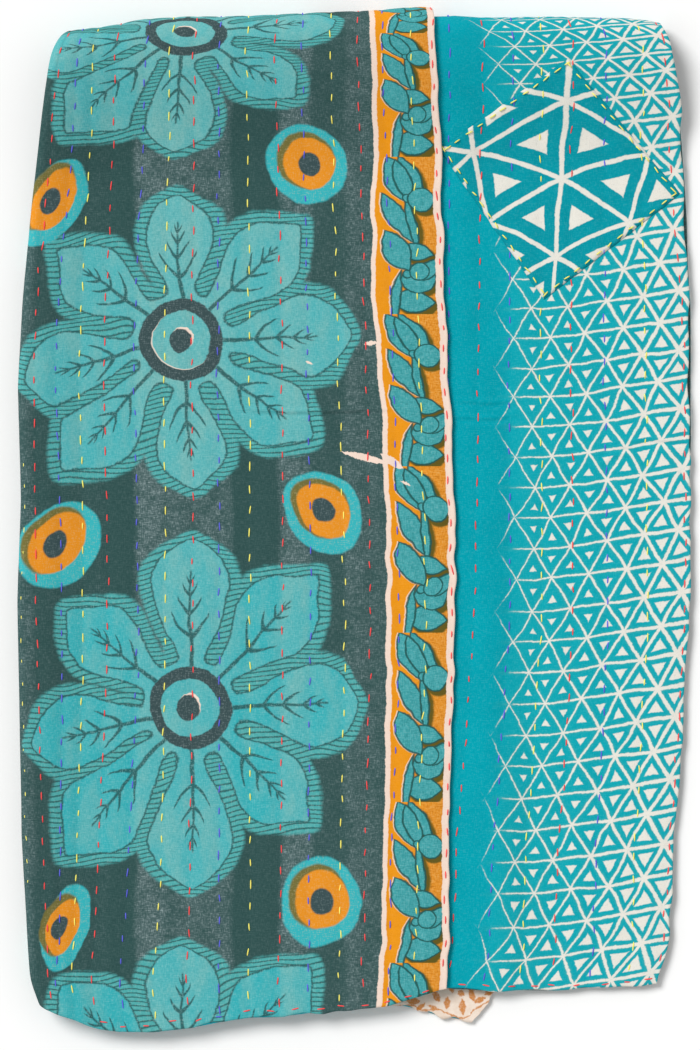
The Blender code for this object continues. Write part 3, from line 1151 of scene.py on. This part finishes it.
def veins(net, place, beyond_ring):
    """The stem and branches inside a petal, from 0 to 1."""
    ahead, beside, size = net.parts(place)
    share = ahead / size
    wide = net.turn(share, 0.25, STEM_END, 2.1, 0.9)
    drawn = net.under(beside - wide, 0.0, 0.9) * net.under(share, STEM_END, 0.01)
    for start, reach, rise in BRANCHES:
        out = beside / reach
        off = abs(ahead - size * start - out * (out * 0.55 + 0.45) * rise)
        branch = net.under(off + out * 0.9, 2.5, 1.2) * net.under(beside, reach, 0.8)
        drawn = net.math("MAXIMUM", drawn, branch)
    return drawn * beyond_ring


# The round motifs between the flowers: a left and a right one at each of three heights. The middle and
# half size of the turquoise round, of the orange one and of the dot, in units, and how far each is turned
ROUND_CHANGES = [370, 730]
ROUND_SIDE = 186
ROUNDS_LEFT = [((52, 203.6), (28.6, 48.7), (52.5, 199.4), (19.5, 34), (48.6, 199.4), (9.5, 14.5)),
               ((58, 544), (36.8, 47), (55.4, 542), (23.5, 34.5), (53.8, 543.4), (10.2, 14.6)),
               ((63.9, 930), (22.5, 44), (61.4, 929), (15, 29.5), (58.8, 929.4), (7.2, 12))]
ROUNDS_RIGHT = [((307, 162.6), (37.5, 41.5), (309.2, 162.3), (25, 26.5), (308, 162.5), (10.8, 11.8)),
                ((323.2, 511.5), (35.5, 47), (323.8, 510), (22.5, 33), (323.5, 510.4), (10.4, 14.3)),
                ((320.2, 903.5), (40, 47.5), (320.2, 902), (27.5, 31.5), (320, 905), (12, 13.6))]
TURNS_LEFT = [0.61, 0.68, 0.26]
TURNS_RIGHT = [-0.9, -0.7, 0.15]


def rounds(net, x, y, point, threads, colour):
    """The round motifs, over the colour of the cloth."""
    past = [net.math("GREATER_THAN", y, change) for change in ROUND_CHANGES]
    right = net.math("GREATER_THAN", x, ROUND_SIDE)

    def pick(columns):
        """The vector of the motif here, from those of the left and of the right ones."""
        picked = []
        for values in columns:
            chosen = values[0]
            for share, value in zip(past, values[1:]):
                chosen = net.choose(share, chosen, value)
            picked.append(chosen)
        return net.choose(right, *picked)

    def own(part, depth):
        return pick([[(*motif[part], depth) for motif in motifs] for motifs in (ROUNDS_LEFT, ROUNDS_RIGHT)])

    turn = pick([[(0, 0, turned) for turned in turns] for turns in (TURNS_LEFT, TURNS_RIGHT)])
    whole = net.under(net.length(net.into(point, own(0, 0.0), turn, own(1, 1.0))), 1.0, 0.035)
    colour = net.blend(whole, colour, PETAL)
    middle = own(2, 0.0)
    inner = own(3, 1.0)
    shade_middle = net.vector("ADD", middle, (-3.2, -3.0, 0))
    shade = net.length(net.into(point, shade_middle, turn, net.vector("ADD", inner, (3.0, 3.0, 0))))
    colour = net.blend(net.under(shade, 1.0, 0.05), colour, OLIVE)
    orange = net.length(net.into(point, middle, turn, inner))
    colour = net.blend(net.under(orange, 1.0, 0.045), colour, ORANGE)
    colour = net.blend(whole * pale_threads(net, threads) * 0.2, colour, ROUND_THREAD)
    dot = net.length(net.into(point, own(4, 0.0), turn, own(5, 1.0)))
    dark = net.blend(pale_threads(net, threads) * 0.25, RING, FLECK)
    return net.blend(net.under(dot, 1.0, 0.09), colour, dark)


def flower_print(net, x, y, point, rough_edge, threads, stripes, colour):
    """The large flowers with their hatched shade, over the colour of the cloth."""
    flowers = Flowers(net, y)
    here = net.vector("SUBTRACT", point, flowers.own(FLOWER_CENTRES))
    reach = net.length(here)
    nearest, second, place = None, 999.0, None
    for square, tips in PETALS:
        outside, spot = petal(net, flowers, here, square, tips)
        if nearest is None:
            nearest, place = outside, spot
        else:
            closer = net.math("LESS_THAN", outside, nearest)
            place = net.choose(closer, place, spot)
            second = net.math("MINIMUM", second, net.math("MAXIMUM", nearest, outside))
            nearest = net.math("MINIMUM", nearest, outside)
    apart = net.math("SMOOTH_MAX", nearest, HATCH_GAP - (second - nearest) * 0.5, 2.0)
    edge = net.math("SMOOTH_MIN", reach - MIDDLE, apart, MELT) + rough_edge
    bend = (net.noise(net.spot(x, y, 11.0), 0.013, 1.0) - 0.5) * HATCH_BEND
    lines = net.math("PINGPONG", (y + x * HATCH_SLANT + bend + rough_edge * 0.6) / HATCH_STEP, 0.5)
    hatched = net.blend(net.under(lines, 0.14, 0.12) * 0.88, HATCH, INK)
    washed = net.noise(net.spot(x * 0.05, y * 0.02, 3.0), 1.0, 3.0, 0.6)
    wash = net.over(washed, 0.53, 0.14) * 0.45 + stripes * 0.35 + net.turn(y, 300.0, 720.0, 0.3, 0.0)
    petals = net.blend(wash, PETAL, PETAL_WASHED)
    printed = net.blend(net.under(edge, 0.0, 1.1), hatched, petals)
    pale = pale_threads(net, threads)
    ink = 0.9 - pale * 0.3
    printed = net.blend(net.under(abs(edge), OUTLINE, 1.0) * ink, printed, INK)
    printed = net.blend(veins(net, place, net.over(reach, RING_OUT, 1.0)) * ink, printed, INK)
    printed = net.blend(pale * 0.19, printed, PETAL_THREAD)
    printed = net.blend(deep_threads(net, threads) * 0.3, printed, PETAL_DEEP)
    colour = net.blend(net.under(edge, HATCH_WIDE, 2.6) * 0.94, colour, printed)
    dark = net.blend(pale * 0.3, RING, FLECK)
    ring = net.under(reach + rough_edge, RING_OUT, 0.9) * net.over(reach + rough_edge, RING_IN, 0.8)
    colour = net.blend(ring, colour, dark)
    upper = net.length(net.vector("SUBTRACT", here, (1.6, -2.2, 0)))
    colour = net.blend(net.under(upper + rough_edge, DOT - 0.2, 0.6), colour, CREAM)
    lower = net.length(net.vector("SUBTRACT", here, (0.9, -0.9, 0)))
    second_flower = flowers.past[0] * (1.0 - flowers.past[1])
    sliver = net.over(lower, RING_IN + 0.2, 0.4) * net.under(reach, RING_IN + 0.3, 0.4) * 0.8
    colour = net.blend(sliver * second_flower, colour, CREAM)
    return net.blend(net.under(reach + rough_edge, DOT, 0.7), colour, dark)


# Rubbed stripes of the dark cloth along it, by the place across
WASH = [
    (0, 0.5), (30, 0.5), (36, 0.12), (104, 0.12), (110, 0.04), (132, 0.04),
    (138, 1.0), (162, 0.9), (168, 0.75), (228, 0.7), (234, 0.04), (277, 0.06),
    (283, 0.95), (307, 0.85), (313, 0.18), (342, 0.2), (349, 0.7), (372, 0.5),
]


def wash_stripes(net, x, y):
    """How far the cloth is rubbed, in stripes along it."""
    sway = (net.noise(net.spot(0.0, y * 0.01, 5.0), 1.0) - 0.5) * 14.0
    return net.curve(x + sway, WASH, straight=True)


def washed_ground(net, x, y, threads, stripes):
    """The dark cloth, rubbed paler in stripes, with pale thread flecks."""
    patches = net.over(net.noise(net.spot(x * 0.05, y * 0.04, 1.0), 1.0, 4.0, 0.65), 0.48, 0.12)
    smears = net.over(net.noise(net.spot(x * 0.09, y * 0.3, 9.0), 1.0, 3.0, 0.65), 0.5, 0.14)
    worn = stripes * (patches * 0.5 + smears * 0.35 + 0.2)
    colour = net.blend(worn * 0.85, GROUND, GROUND_WASHED)
    colour = net.blend(deep_threads(net, threads) * 0.5, colour, GROUND_DEEP)
    return net.blend(pale_threads(net, threads) * (worn * 0.7 + 0.05), colour, FLECK)


# The vine of the border, in steps of a sixth of a unit, from the inner strip across to the free edge
VINE_FINE = 6.271
VINE_EDGE = 605.0
VINE_REPEAT = 1065.0
VINE_FIRST = 208.0
VINE_CLUSTER = 376.0
VINE_CLUSTERS = [
    (-472, -3), (-308, -2), (-145, -1), (18, 0), (181, 1), (338, 2), (490, 3), (660, 4),
    (830, 5), (990, 6), (1150, 7),
]
# Each leaf: its shape, middle, half length, half width and turn in degrees, from the one that lies lowest
VINE_SHAPES = [
    ("leaf", 420, 1185, 128, 80, 4),
    ("leaf", 322, 1165, 190, 29, 99),
    ("leaf", 338, 620, 196, 64, 60.7),
    ("leaf", 418, 650, 215, 26, 83),
    ("leaf", 322, 350, 165, 70, 66),
    ("leaf", 408, 325, 150, 50, 54),
    ("leaf", 366, 362, 150, 50, 66),
    ("round", 404, 482, 27, 27, 0),
    ("round", 485, 494, 80, 76, 20),
    ("leaf", 440, 848, 108, 58, 14),
    ("round", 460, 1028, 106, 98, -20),
    ("leaf", 520, 975, 82, 46, -62),
    ("round", 390, 1000, 28, 28, 0),
    ("round", 462, 985, 58, 58, 0),
    ("leaf", 324, 842, 158, 78, 61),
]
VINE_SHADED = [0, 3, 5, 6, 8, 9, 10, 11]
VINE_LIT = [1, 2, 4, 14]
VINE_LINE = 5.5


def vine_shape(net, point, kind, x, y, long, wide, turn):
    """How far a point is outside one leaf of the vine."""
    turn = math.radians(turn)
    place = net.into(point, (x, y, 0), turn, (long, wide, 1))
    if kind == "round":
        return (net.length(place) - 1.0) * (1.15 * wide)
    ahead, beside, _ = net.parts(place)
    return (abs(beside) + ahead * ahead - 1.0) * (0.85 * wide)


def vine_all(net, point, numbers):
    """How far a point is outside all of some leaves of the vine."""
    whole = None
    for number in numbers:
        outside = vine_shape(net, point, *VINE_SHAPES[number])
        whole = outside if whole is None else net.math("MINIMUM", whole, outside)
    return whole


def border_print(net, x, y, from_edge, rough_edge, colour, threads):
    """The orange border with its leafy vine between two cream strips, over the colour of the cloth."""
    strip_edge = from_edge + rough_edge * 0.8
    phase = net.curve(y, VINE_CLUSTERS, straight=True)
    down = net.math("WRAP", phase * VINE_REPEAT + VINE_CLUSTER, VINE_FIRST + VINE_REPEAT, VINE_FIRST)
    in_vine = VINE_EDGE - from_edge * VINE_FINE
    point = net.wander(net.spot(in_vine, down), 0.012, 26.0)
    point = net.wander(point, 0.07, 7.0)
    side_share = net.turn(from_edge, 18.0, 48.0, 1.0, 0.0)
    worn = net.over(net.noise(net.spot(x * 0.12, y * 0.12, 2.0), 1.0, 3.0, 0.6), 0.5, 0.2)
    orange = net.blend(side_share * 0.8 + worn * 0.2, ORANGE_LEFT, ORANGE_RIGHT)
    orange = net.blend(pale_threads(net, threads) * (side_share * 0.4 + 0.08), orange, ORANGE_THREAD)
    orange = net.blend(deep_threads(net, threads) * (side_share * 0.45 + 0.1), orange, ORANGE_DEEP)
    shade_point = net.vector("SUBTRACT", point, (22, 26, 0))
    shade = net.under(vine_all(net, shade_point, VINE_SHADED), 10.0, 10.0)
    orange = net.blend(shade * 0.95, orange, VINE_SHADE)
    lit_point = net.vector("ADD", point, (9, 1, 0))
    orange = net.blend(net.under(vine_all(net, lit_point, VINE_LIT), 3.0, 3.0) * 0.9, orange, CREAM)
    filled, inked = None, None
    for shape in VINE_SHAPES:
        outside = vine_shape(net, point, *shape)
        inside = net.under(outside, 0.0, 2.5)
        line = net.under(abs(outside), VINE_LINE, 3.0)
        filled = inside if filled is None else net.math("MAXIMUM", filled, inside)
        inked = line if inked is None else net.math("MAXIMUM", inked * (1.0 - inside), line)
    pale = net.over(net.noise(net.spot(x * 0.2, y * 0.12, 8.0), 1.0, 2.0), 0.5, 0.2)
    leaves = net.blend(pale * 0.45, VINE, VINE_PALE)
    leaves = net.blend(pale_threads(net, threads) * 0.18, leaves, PETAL_THREAD)
    leaves = net.blend(deep_threads(net, threads) * 0.3, leaves, VINE_INK)
    orange = net.blend(filled, orange, leaves)
    orange = net.blend(inked * 0.9, orange, VINE_INK)
    inner = net.under(strip_edge, STRIP_STOP, 0.5)
    strip = net.blend(deep_threads(net, threads) * 0.16, CREAM, STRIP_DEEP)
    colour = net.blend(inner, colour, strip)
    printed = net.under(strip_edge, STRIP_START, 0.5) * net.over(strip_edge, OUTER_STRIP, 0.4)
    return net.blend(printed, colour, orange)


# Misprints, where the cloth shows through: middle, half length, half width and turn in degrees
MISPRINTS = [
    (366, 457.5, 26, 3.4, 14), (392, 461, 14, 4.0, 34), (371, 342.5, 7, 2.2, -8),
    (406, 483, 5.5, 1.3, 25), (309, 362, 4, 1.2, 20),
]


def misprints(net, point, colour):
    for x, y, long, wide, turn in MISPRINTS:
        outside = vine_shape(net, point, "leaf", x, y, long, wide, turn)
        colour = net.blend(net.under(outside, 0.0, 0.35), colour, CREAM)
    return colour


def print_place(net, left):
    """Across and down on the print, in units."""
    u, v = net.map("print")
    return u / UNIT + float(left), float(UNITS_TOP) - v / UNIT


def dark_cotton():
    """Dark cloth with large turquoise flowers, and a vine along the free edge of the flap."""
    net = Net("dark flowered cotton")
    x, y = print_place(net, UNITS_LEFT)
    again = net.math("LESS_THAN", y, FLOWERS_REPEAT[0])
    flower_y = y + again * (net.math("WRAP", y, FLOWERS_REPEAT[1], FLOWERS_REPEAT[0]) - y)
    threads = woven(net, x, y)
    rough_edge = (net.noise(net.spot(x, y, 4.0), 0.3, 2.0) - 0.5) * 2.4
    point = net.wander(net.spot(x, flower_y), 0.018, 13.0)
    point = net.wander(point, 0.11, 2.4)
    stripes = wash_stripes(net, x, y)
    colour = washed_ground(net, x, y, threads, stripes)
    colour = flower_print(net, x, flower_y, point, rough_edge, threads, stripes, colour)
    colour = rounds(net, x, flower_y, point, threads, colour)
    edge_u, _ = net.map("border")
    colour = border_print(net, x, y, edge_u / UNIT, rough_edge, colour, threads)
    colour = misprints(net, net.wander(net.spot(x, y), 0.5, 2.6), colour)
    return finish_cotton(net, colour, threads, fine_weave(net, x, y))


def lattice(net, families):
    """How far a place is from the nearest line of three families. Each has its lines at whole numbers."""
    nearest = None
    for value, gap in families:
        off = net.math("PINGPONG", value, 0.5) * gap
        nearest = off if nearest is None else net.math("MINIMUM", nearest, off)
    return nearest


# The lattice of the turquoise cloth, in units from the left, with the right hem at one place
HEM_PLACE = 693
LATTICE_LEFT = 498.0
LINE_WIDTH = [(496, 0.1), (505, 0.35), (540, 0.7), (600, 1.1), (650, 1.55), (700, 2.1)]
TRIANGLE_IN = [(496, 14.0), (519, 13.0), (529, 8.7), (600, 7.8), (650, 6.6), (700, 6.3)]


def turquoise_cotton():
    """Plain turquoise that turns into a white lattice of triangles towards the right hem."""
    net = Net("turquoise cotton")
    x, y = print_place(net, HEM_PLACE)
    threads = woven(net, x, y)
    point = net.wander(net.wander(net.spot(x, y), 0.02, 7.0), 0.12, 1.8)
    px, py, _ = net.parts(point)
    lean = net.math("POWER", net.math("MAXIMUM", (px - 540.0) / 142.0, 0.0), 1.3) * 19.5
    below = py + lean - 367.0
    rows = below / 60.0 - below * below * 1.21e-6
    columns = (px - LATTICE_LEFT) / 37.0
    rough_edge = (net.noise(net.spot(x, y, 4.0), 0.45, 2.0) - 0.5) * 1.6
    start = px + (net.noise(net.spot(x, y, 8.0), 0.12, 2.0) - 0.5) * 22.0
    level = lattice(net, [(rows * 2.0, 30.5)]) + rough_edge
    slanted = lattice(net, [(columns + rows, 31.7), (columns - rows, 31.7)]) + rough_edge
    near = net.math("MINIMUM", level, slanted)
    cloudy = net.over(net.noise(net.spot(x * 0.03, y * 0.02, 6.0), 1.0, 3.0, 0.6), 0.5, 0.22)
    colour = net.blend(cloudy * 0.45, TURQUOISE, TURQUOISE_DEEP)
    started = net.over(x, 512.0, 16.0)
    colour = net.blend(started * 0.5, colour, BAND)
    width = net.curve(px, LINE_WIDTH)
    colour = net.blend(net.under(near - width, 1.4, 1.3) * started * 0.5, colour, BESIDE_LINE)
    level_line = net.under(level - width, 0.0, 0.55) * net.over(start, 519.0, 9.0)
    slanted_line = net.under(slanted - width, 0.0, 0.55) * net.over(start, 503.0, 7.0)
    line = net.math("MAXIMUM", level_line, slanted_line)
    larger = net.turn(py, 800.0, 950.0, 0.0, 0.9)
    triangle = net.over(near - net.curve(px, TRIANGLE_IN) + larger, 0.0, 0.6)
    colour = net.blend(net.math("MAXIMUM", line, triangle) * 0.97, colour, LATTICE_CREAM)
    colour = net.blend(pale_threads(net, threads) * 0.1, colour, TURQUOISE_THREAD)
    colour = net.blend(deep_threads(net, threads) * 0.14, colour, TURQUOISE_SHADE)
    return finish_cotton(net, colour, threads, fine_weave(net, x, y))


# The larger lattice of the diamond patch: its middle node, and how its columns lean and close in downwards
DIAMOND_NODE = (562.0, 177.0)
DIAMOND_LEAN = -0.07
DIAMOND_COLUMN = 82.0
DIAMOND_CLOSE = -0.246
DIAMOND_DROOP = 9.0
DIAMOND_ROW = 78.0
DIAMOND_LINE = 2.35
DIAMOND_TRIANGLE = 17.4
SLANTED_MORE = 3.4  # the inner triangles are nearer the upright lines


def diamond_cotton():
    """Teal cloth with a larger lattice of triangles."""
    net = Net("teal printed cotton")
    x, y = print_place(net, UNITS_LEFT)
    threads = woven(net, x, y)
    px, py, _ = net.parts(net.wander(net.wander(net.spot(x, y), 0.03, 5.0), 0.2, 1.2))
    down = py - DIAMOND_NODE[1]
    columns = (px - DIAMOND_NODE[0] - down * DIAMOND_LEAN) / (down * DIAMOND_CLOSE + DIAMOND_COLUMN)
    rows = (down - columns * columns * DIAMOND_DROOP) * (abs(columns) * 0.11 + 1.0) / DIAMOND_ROW
    rough_edge = (net.noise(net.spot(x, y, 4.0), 0.4, 2.0) - 0.5) * 1.2
    upright = [(columns, 80.0)]
    slanted = [(rows + columns * 0.5, 70.0), (rows - columns * 0.5, 70.0)]
    near = lattice(net, upright + slanted) + rough_edge
    inner = net.math("MINIMUM", lattice(net, upright) + SLANTED_MORE, lattice(net, slanted)) + rough_edge
    cloudy = net.over(net.noise(net.spot(x * 0.05, y * 0.05, 6.0), 1.0, 3.0, 0.6), 0.5, 0.22)
    colour = net.blend(cloudy * 0.5, PATCH_TEAL, PATCH_DEEP)
    line = net.under(near, DIAMOND_LINE, 0.6)
    triangle = net.over(inner, DIAMOND_TRIANGLE, 0.6)
    colour = net.blend(net.math("MAXIMUM", line, triangle) * 0.97, colour, LATTICE_CREAM)
    colour = net.blend(pale_threads(net, threads) * 0.1, colour, PATCH_THREAD)
    colour = net.blend(deep_threads(net, threads) * 0.14, colour, PATCH_SHADE)
    return finish_cotton(net, colour, threads, fine_weave(net, x, y))


# Ochre leaves of the cream patch, in units: middle, half length, half width and turn in degrees
OCHRE_LEAVES = [
    (447.9, 1006.5, 6.5, 3.0, 95), (463.3, 1010.5, 8.5, 3.4, 88), (472.8, 998, 8, 3.2, 72),
    (480.8, 1003.5, 6.5, 2.8, -25), (437, 999.5, 7, 3.2, 60), (413.5, 1004.5, 7, 4.0, 5),
    (420.5, 1011.2, 6.5, 2.2, -40), (434.5, 1011.2, 7, 1.8, 20),
    (462, 996.5, 4, 3.0, 40), (490, 996, 5, 3.0, -30), (400, 1001, 7, 3.0, 20), (452, 990, 7, 3.4, 80),
    (425, 992, 7, 3.0, 30),
]
OCHRE_HEM = [
    (395, 1010), (412, 1009), (424, 1014), (436, 1013), (447, 1016.5), (455, 1019.5),
    (463, 1022), (474, 1014), (486, 1007), (500, 1000),
]


def cream_cotton():
    """Cream cloth with ochre leaves and an ochre line along its frayed edge."""
    net = Net("cream printed cotton")
    x, y = print_place(net, UNITS_LEFT)
    threads = woven(net, x, y)
    point = net.wander(net.spot(x, y), 0.35, 3.0)
    px, py, _ = net.parts(point)
    cloudy = net.noise(net.spot(x * 0.1, y * 0.1, 6.0), 1.0, 3.0, 0.6)
    colour = net.blend(net.over(cloudy, 0.55, 0.2) * 0.5, CORNER_CREAM, CORNER_WORN)
    for leaf in OCHRE_LEAVES:
        outside = vine_shape(net, point, "leaf", *leaf)
        colour = net.blend(net.under(outside, 0.0, 0.7) * 0.9, colour, OCHRE)
    line = abs(py - net.curve(px, OCHRE_HEM))
    colour = net.blend(net.under(line, 0.9, 0.7) * 0.85, colour, OCHRE)
    colour = net.blend(pale_threads(net, threads) * 0.3, colour, CORNER_THREAD)
    return finish_cotton(net, colour, threads, fine_weave(net, x, y))


def thread(colour):
    """Soft twisted cotton thread, a little worn."""
    net = Net(colour + " thread")
    place = Number(net, net.node("TexCoord", {}, {}).outputs["Object"])
    worn = net.noise(place, 90.0, 2.0)
    fibres = net.noise(net.vector("MULTIPLY", place, (3000, 900, 3000)), 1.0, 2.0)
    shade = net.blend(net.over(worn, 0.55, 0.12) * 0.45, THREADS[colour], THREAD_SHADES[colour])
    twisted = net.blend(net.over(fibres, 0.5, 0.2) * 0.3, shade, THREADS[colour])
    net.give(net.surface.inputs["Base Color"], twisted)
    net.surface.inputs["Roughness"].default_value = 0.7
    net.surface.inputs["Specular IOR Level"].default_value = 0.3
    bump = net.node("Bump", {}, {"Strength": 0.4, "Distance": 0.15 * MM, "Height": fibres})
    net.give(net.surface.inputs["Normal"], Number(net, bump.outputs[0]))
    return net.material


WORLD_LIGHT = 0.53
KEY_LIGHT = 2.25
KEY_SPREAD = 25
KEY_FROM = (-0.75, 0.65, 1.2)

CAMERA_HEIGHT = 6.0
PHOTO_HEIGHT = 1050 * UNIT
PHOTO_MIDDLE = (350, 525)
SENSOR = 36


def plain(name, colour):
    material = bpy.data.materials.new(name)
    material.use_nodes = True
    surface = material.node_tree.nodes["Principled BSDF"]
    surface.inputs["Base Color"].default_value = linear(colour)
    surface.inputs["Roughness"].default_value = 0.85
    return material


def studio():
    """A pale floor and soft light. The camera of the photograph is set up by camera()."""
    bpy.ops.mesh.primitive_plane_add(size=6, location=(0, 0, 0))
    floor = bpy.context.object
    floor.name = "floor"
    floor.data.materials.append(plain("pale floor", (250, 250, 249)))
    world = bpy.data.worlds.new("studio")
    bpy.context.scene.world = world
    world.use_nodes = True
    world.node_tree.nodes["Background"].inputs["Color"].default_value = (1, 1, 1, 1)
    world.node_tree.nodes["Background"].inputs["Strength"].default_value = WORLD_LIGHT
    lamp = bpy.data.lights.new("key light", "SUN")
    lamp.energy = KEY_LIGHT
    lamp.angle = math.radians(KEY_SPREAD)
    key = bpy.data.objects.new("key light", lamp)
    key.rotation_euler = Vector(KEY_FROM).to_track_quat("Z", "Y").to_euler()
    bpy.context.collection.objects.link(key)
    bpy.context.scene.view_settings.view_transform = "Standard"


def camera():
    x, y = at_units(*PHOTO_MIDDLE)
    data = bpy.data.cameras.new("camera")
    data.sensor_width = SENSOR
    data.lens = SENSOR * CAMERA_HEIGHT / PHOTO_HEIGHT
    eye = bpy.data.objects.new("camera", data)
    eye.location = (float(x) - SHIFT_X, float(y) - SHIFT_Y, CAMERA_HEIGHT + 0.05)
    bpy.context.collection.objects.link(eye)
    bpy.context.scene.camera = eye


def main():
    bpy.ops.object.select_all(action="DESELECT")
    face = cloth("face_cloth_sheet", 1, True, False)
    back = cloth("back_cloth_sheet", -1, False, True)
    diamond = diamond_sheet()
    corner = corner_sheet()
    face.data.materials.append(dark_cotton())
    back.data.materials.append(turquoise_cotton())
    diamond.data.materials.append(diamond_cotton())
    corner.data.materials.append(cream_cotton())
    threads = []
    for colour, stitches in all_stitches().items():
        piece = thread_piece(colour + "_stitches", lifted_on_patch(stitches))
        piece.data.materials.append(thread(colour))
        colour + "_thread"
        threads.append(piece)
    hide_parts("face_cloth")
    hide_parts("back_cloth")
    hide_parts("diamond_patch")
    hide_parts("corner_patch")
    for piece in [face, back, diamond, corner] + threads:
        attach(piece, "root")
    studio()
    camera()


main()
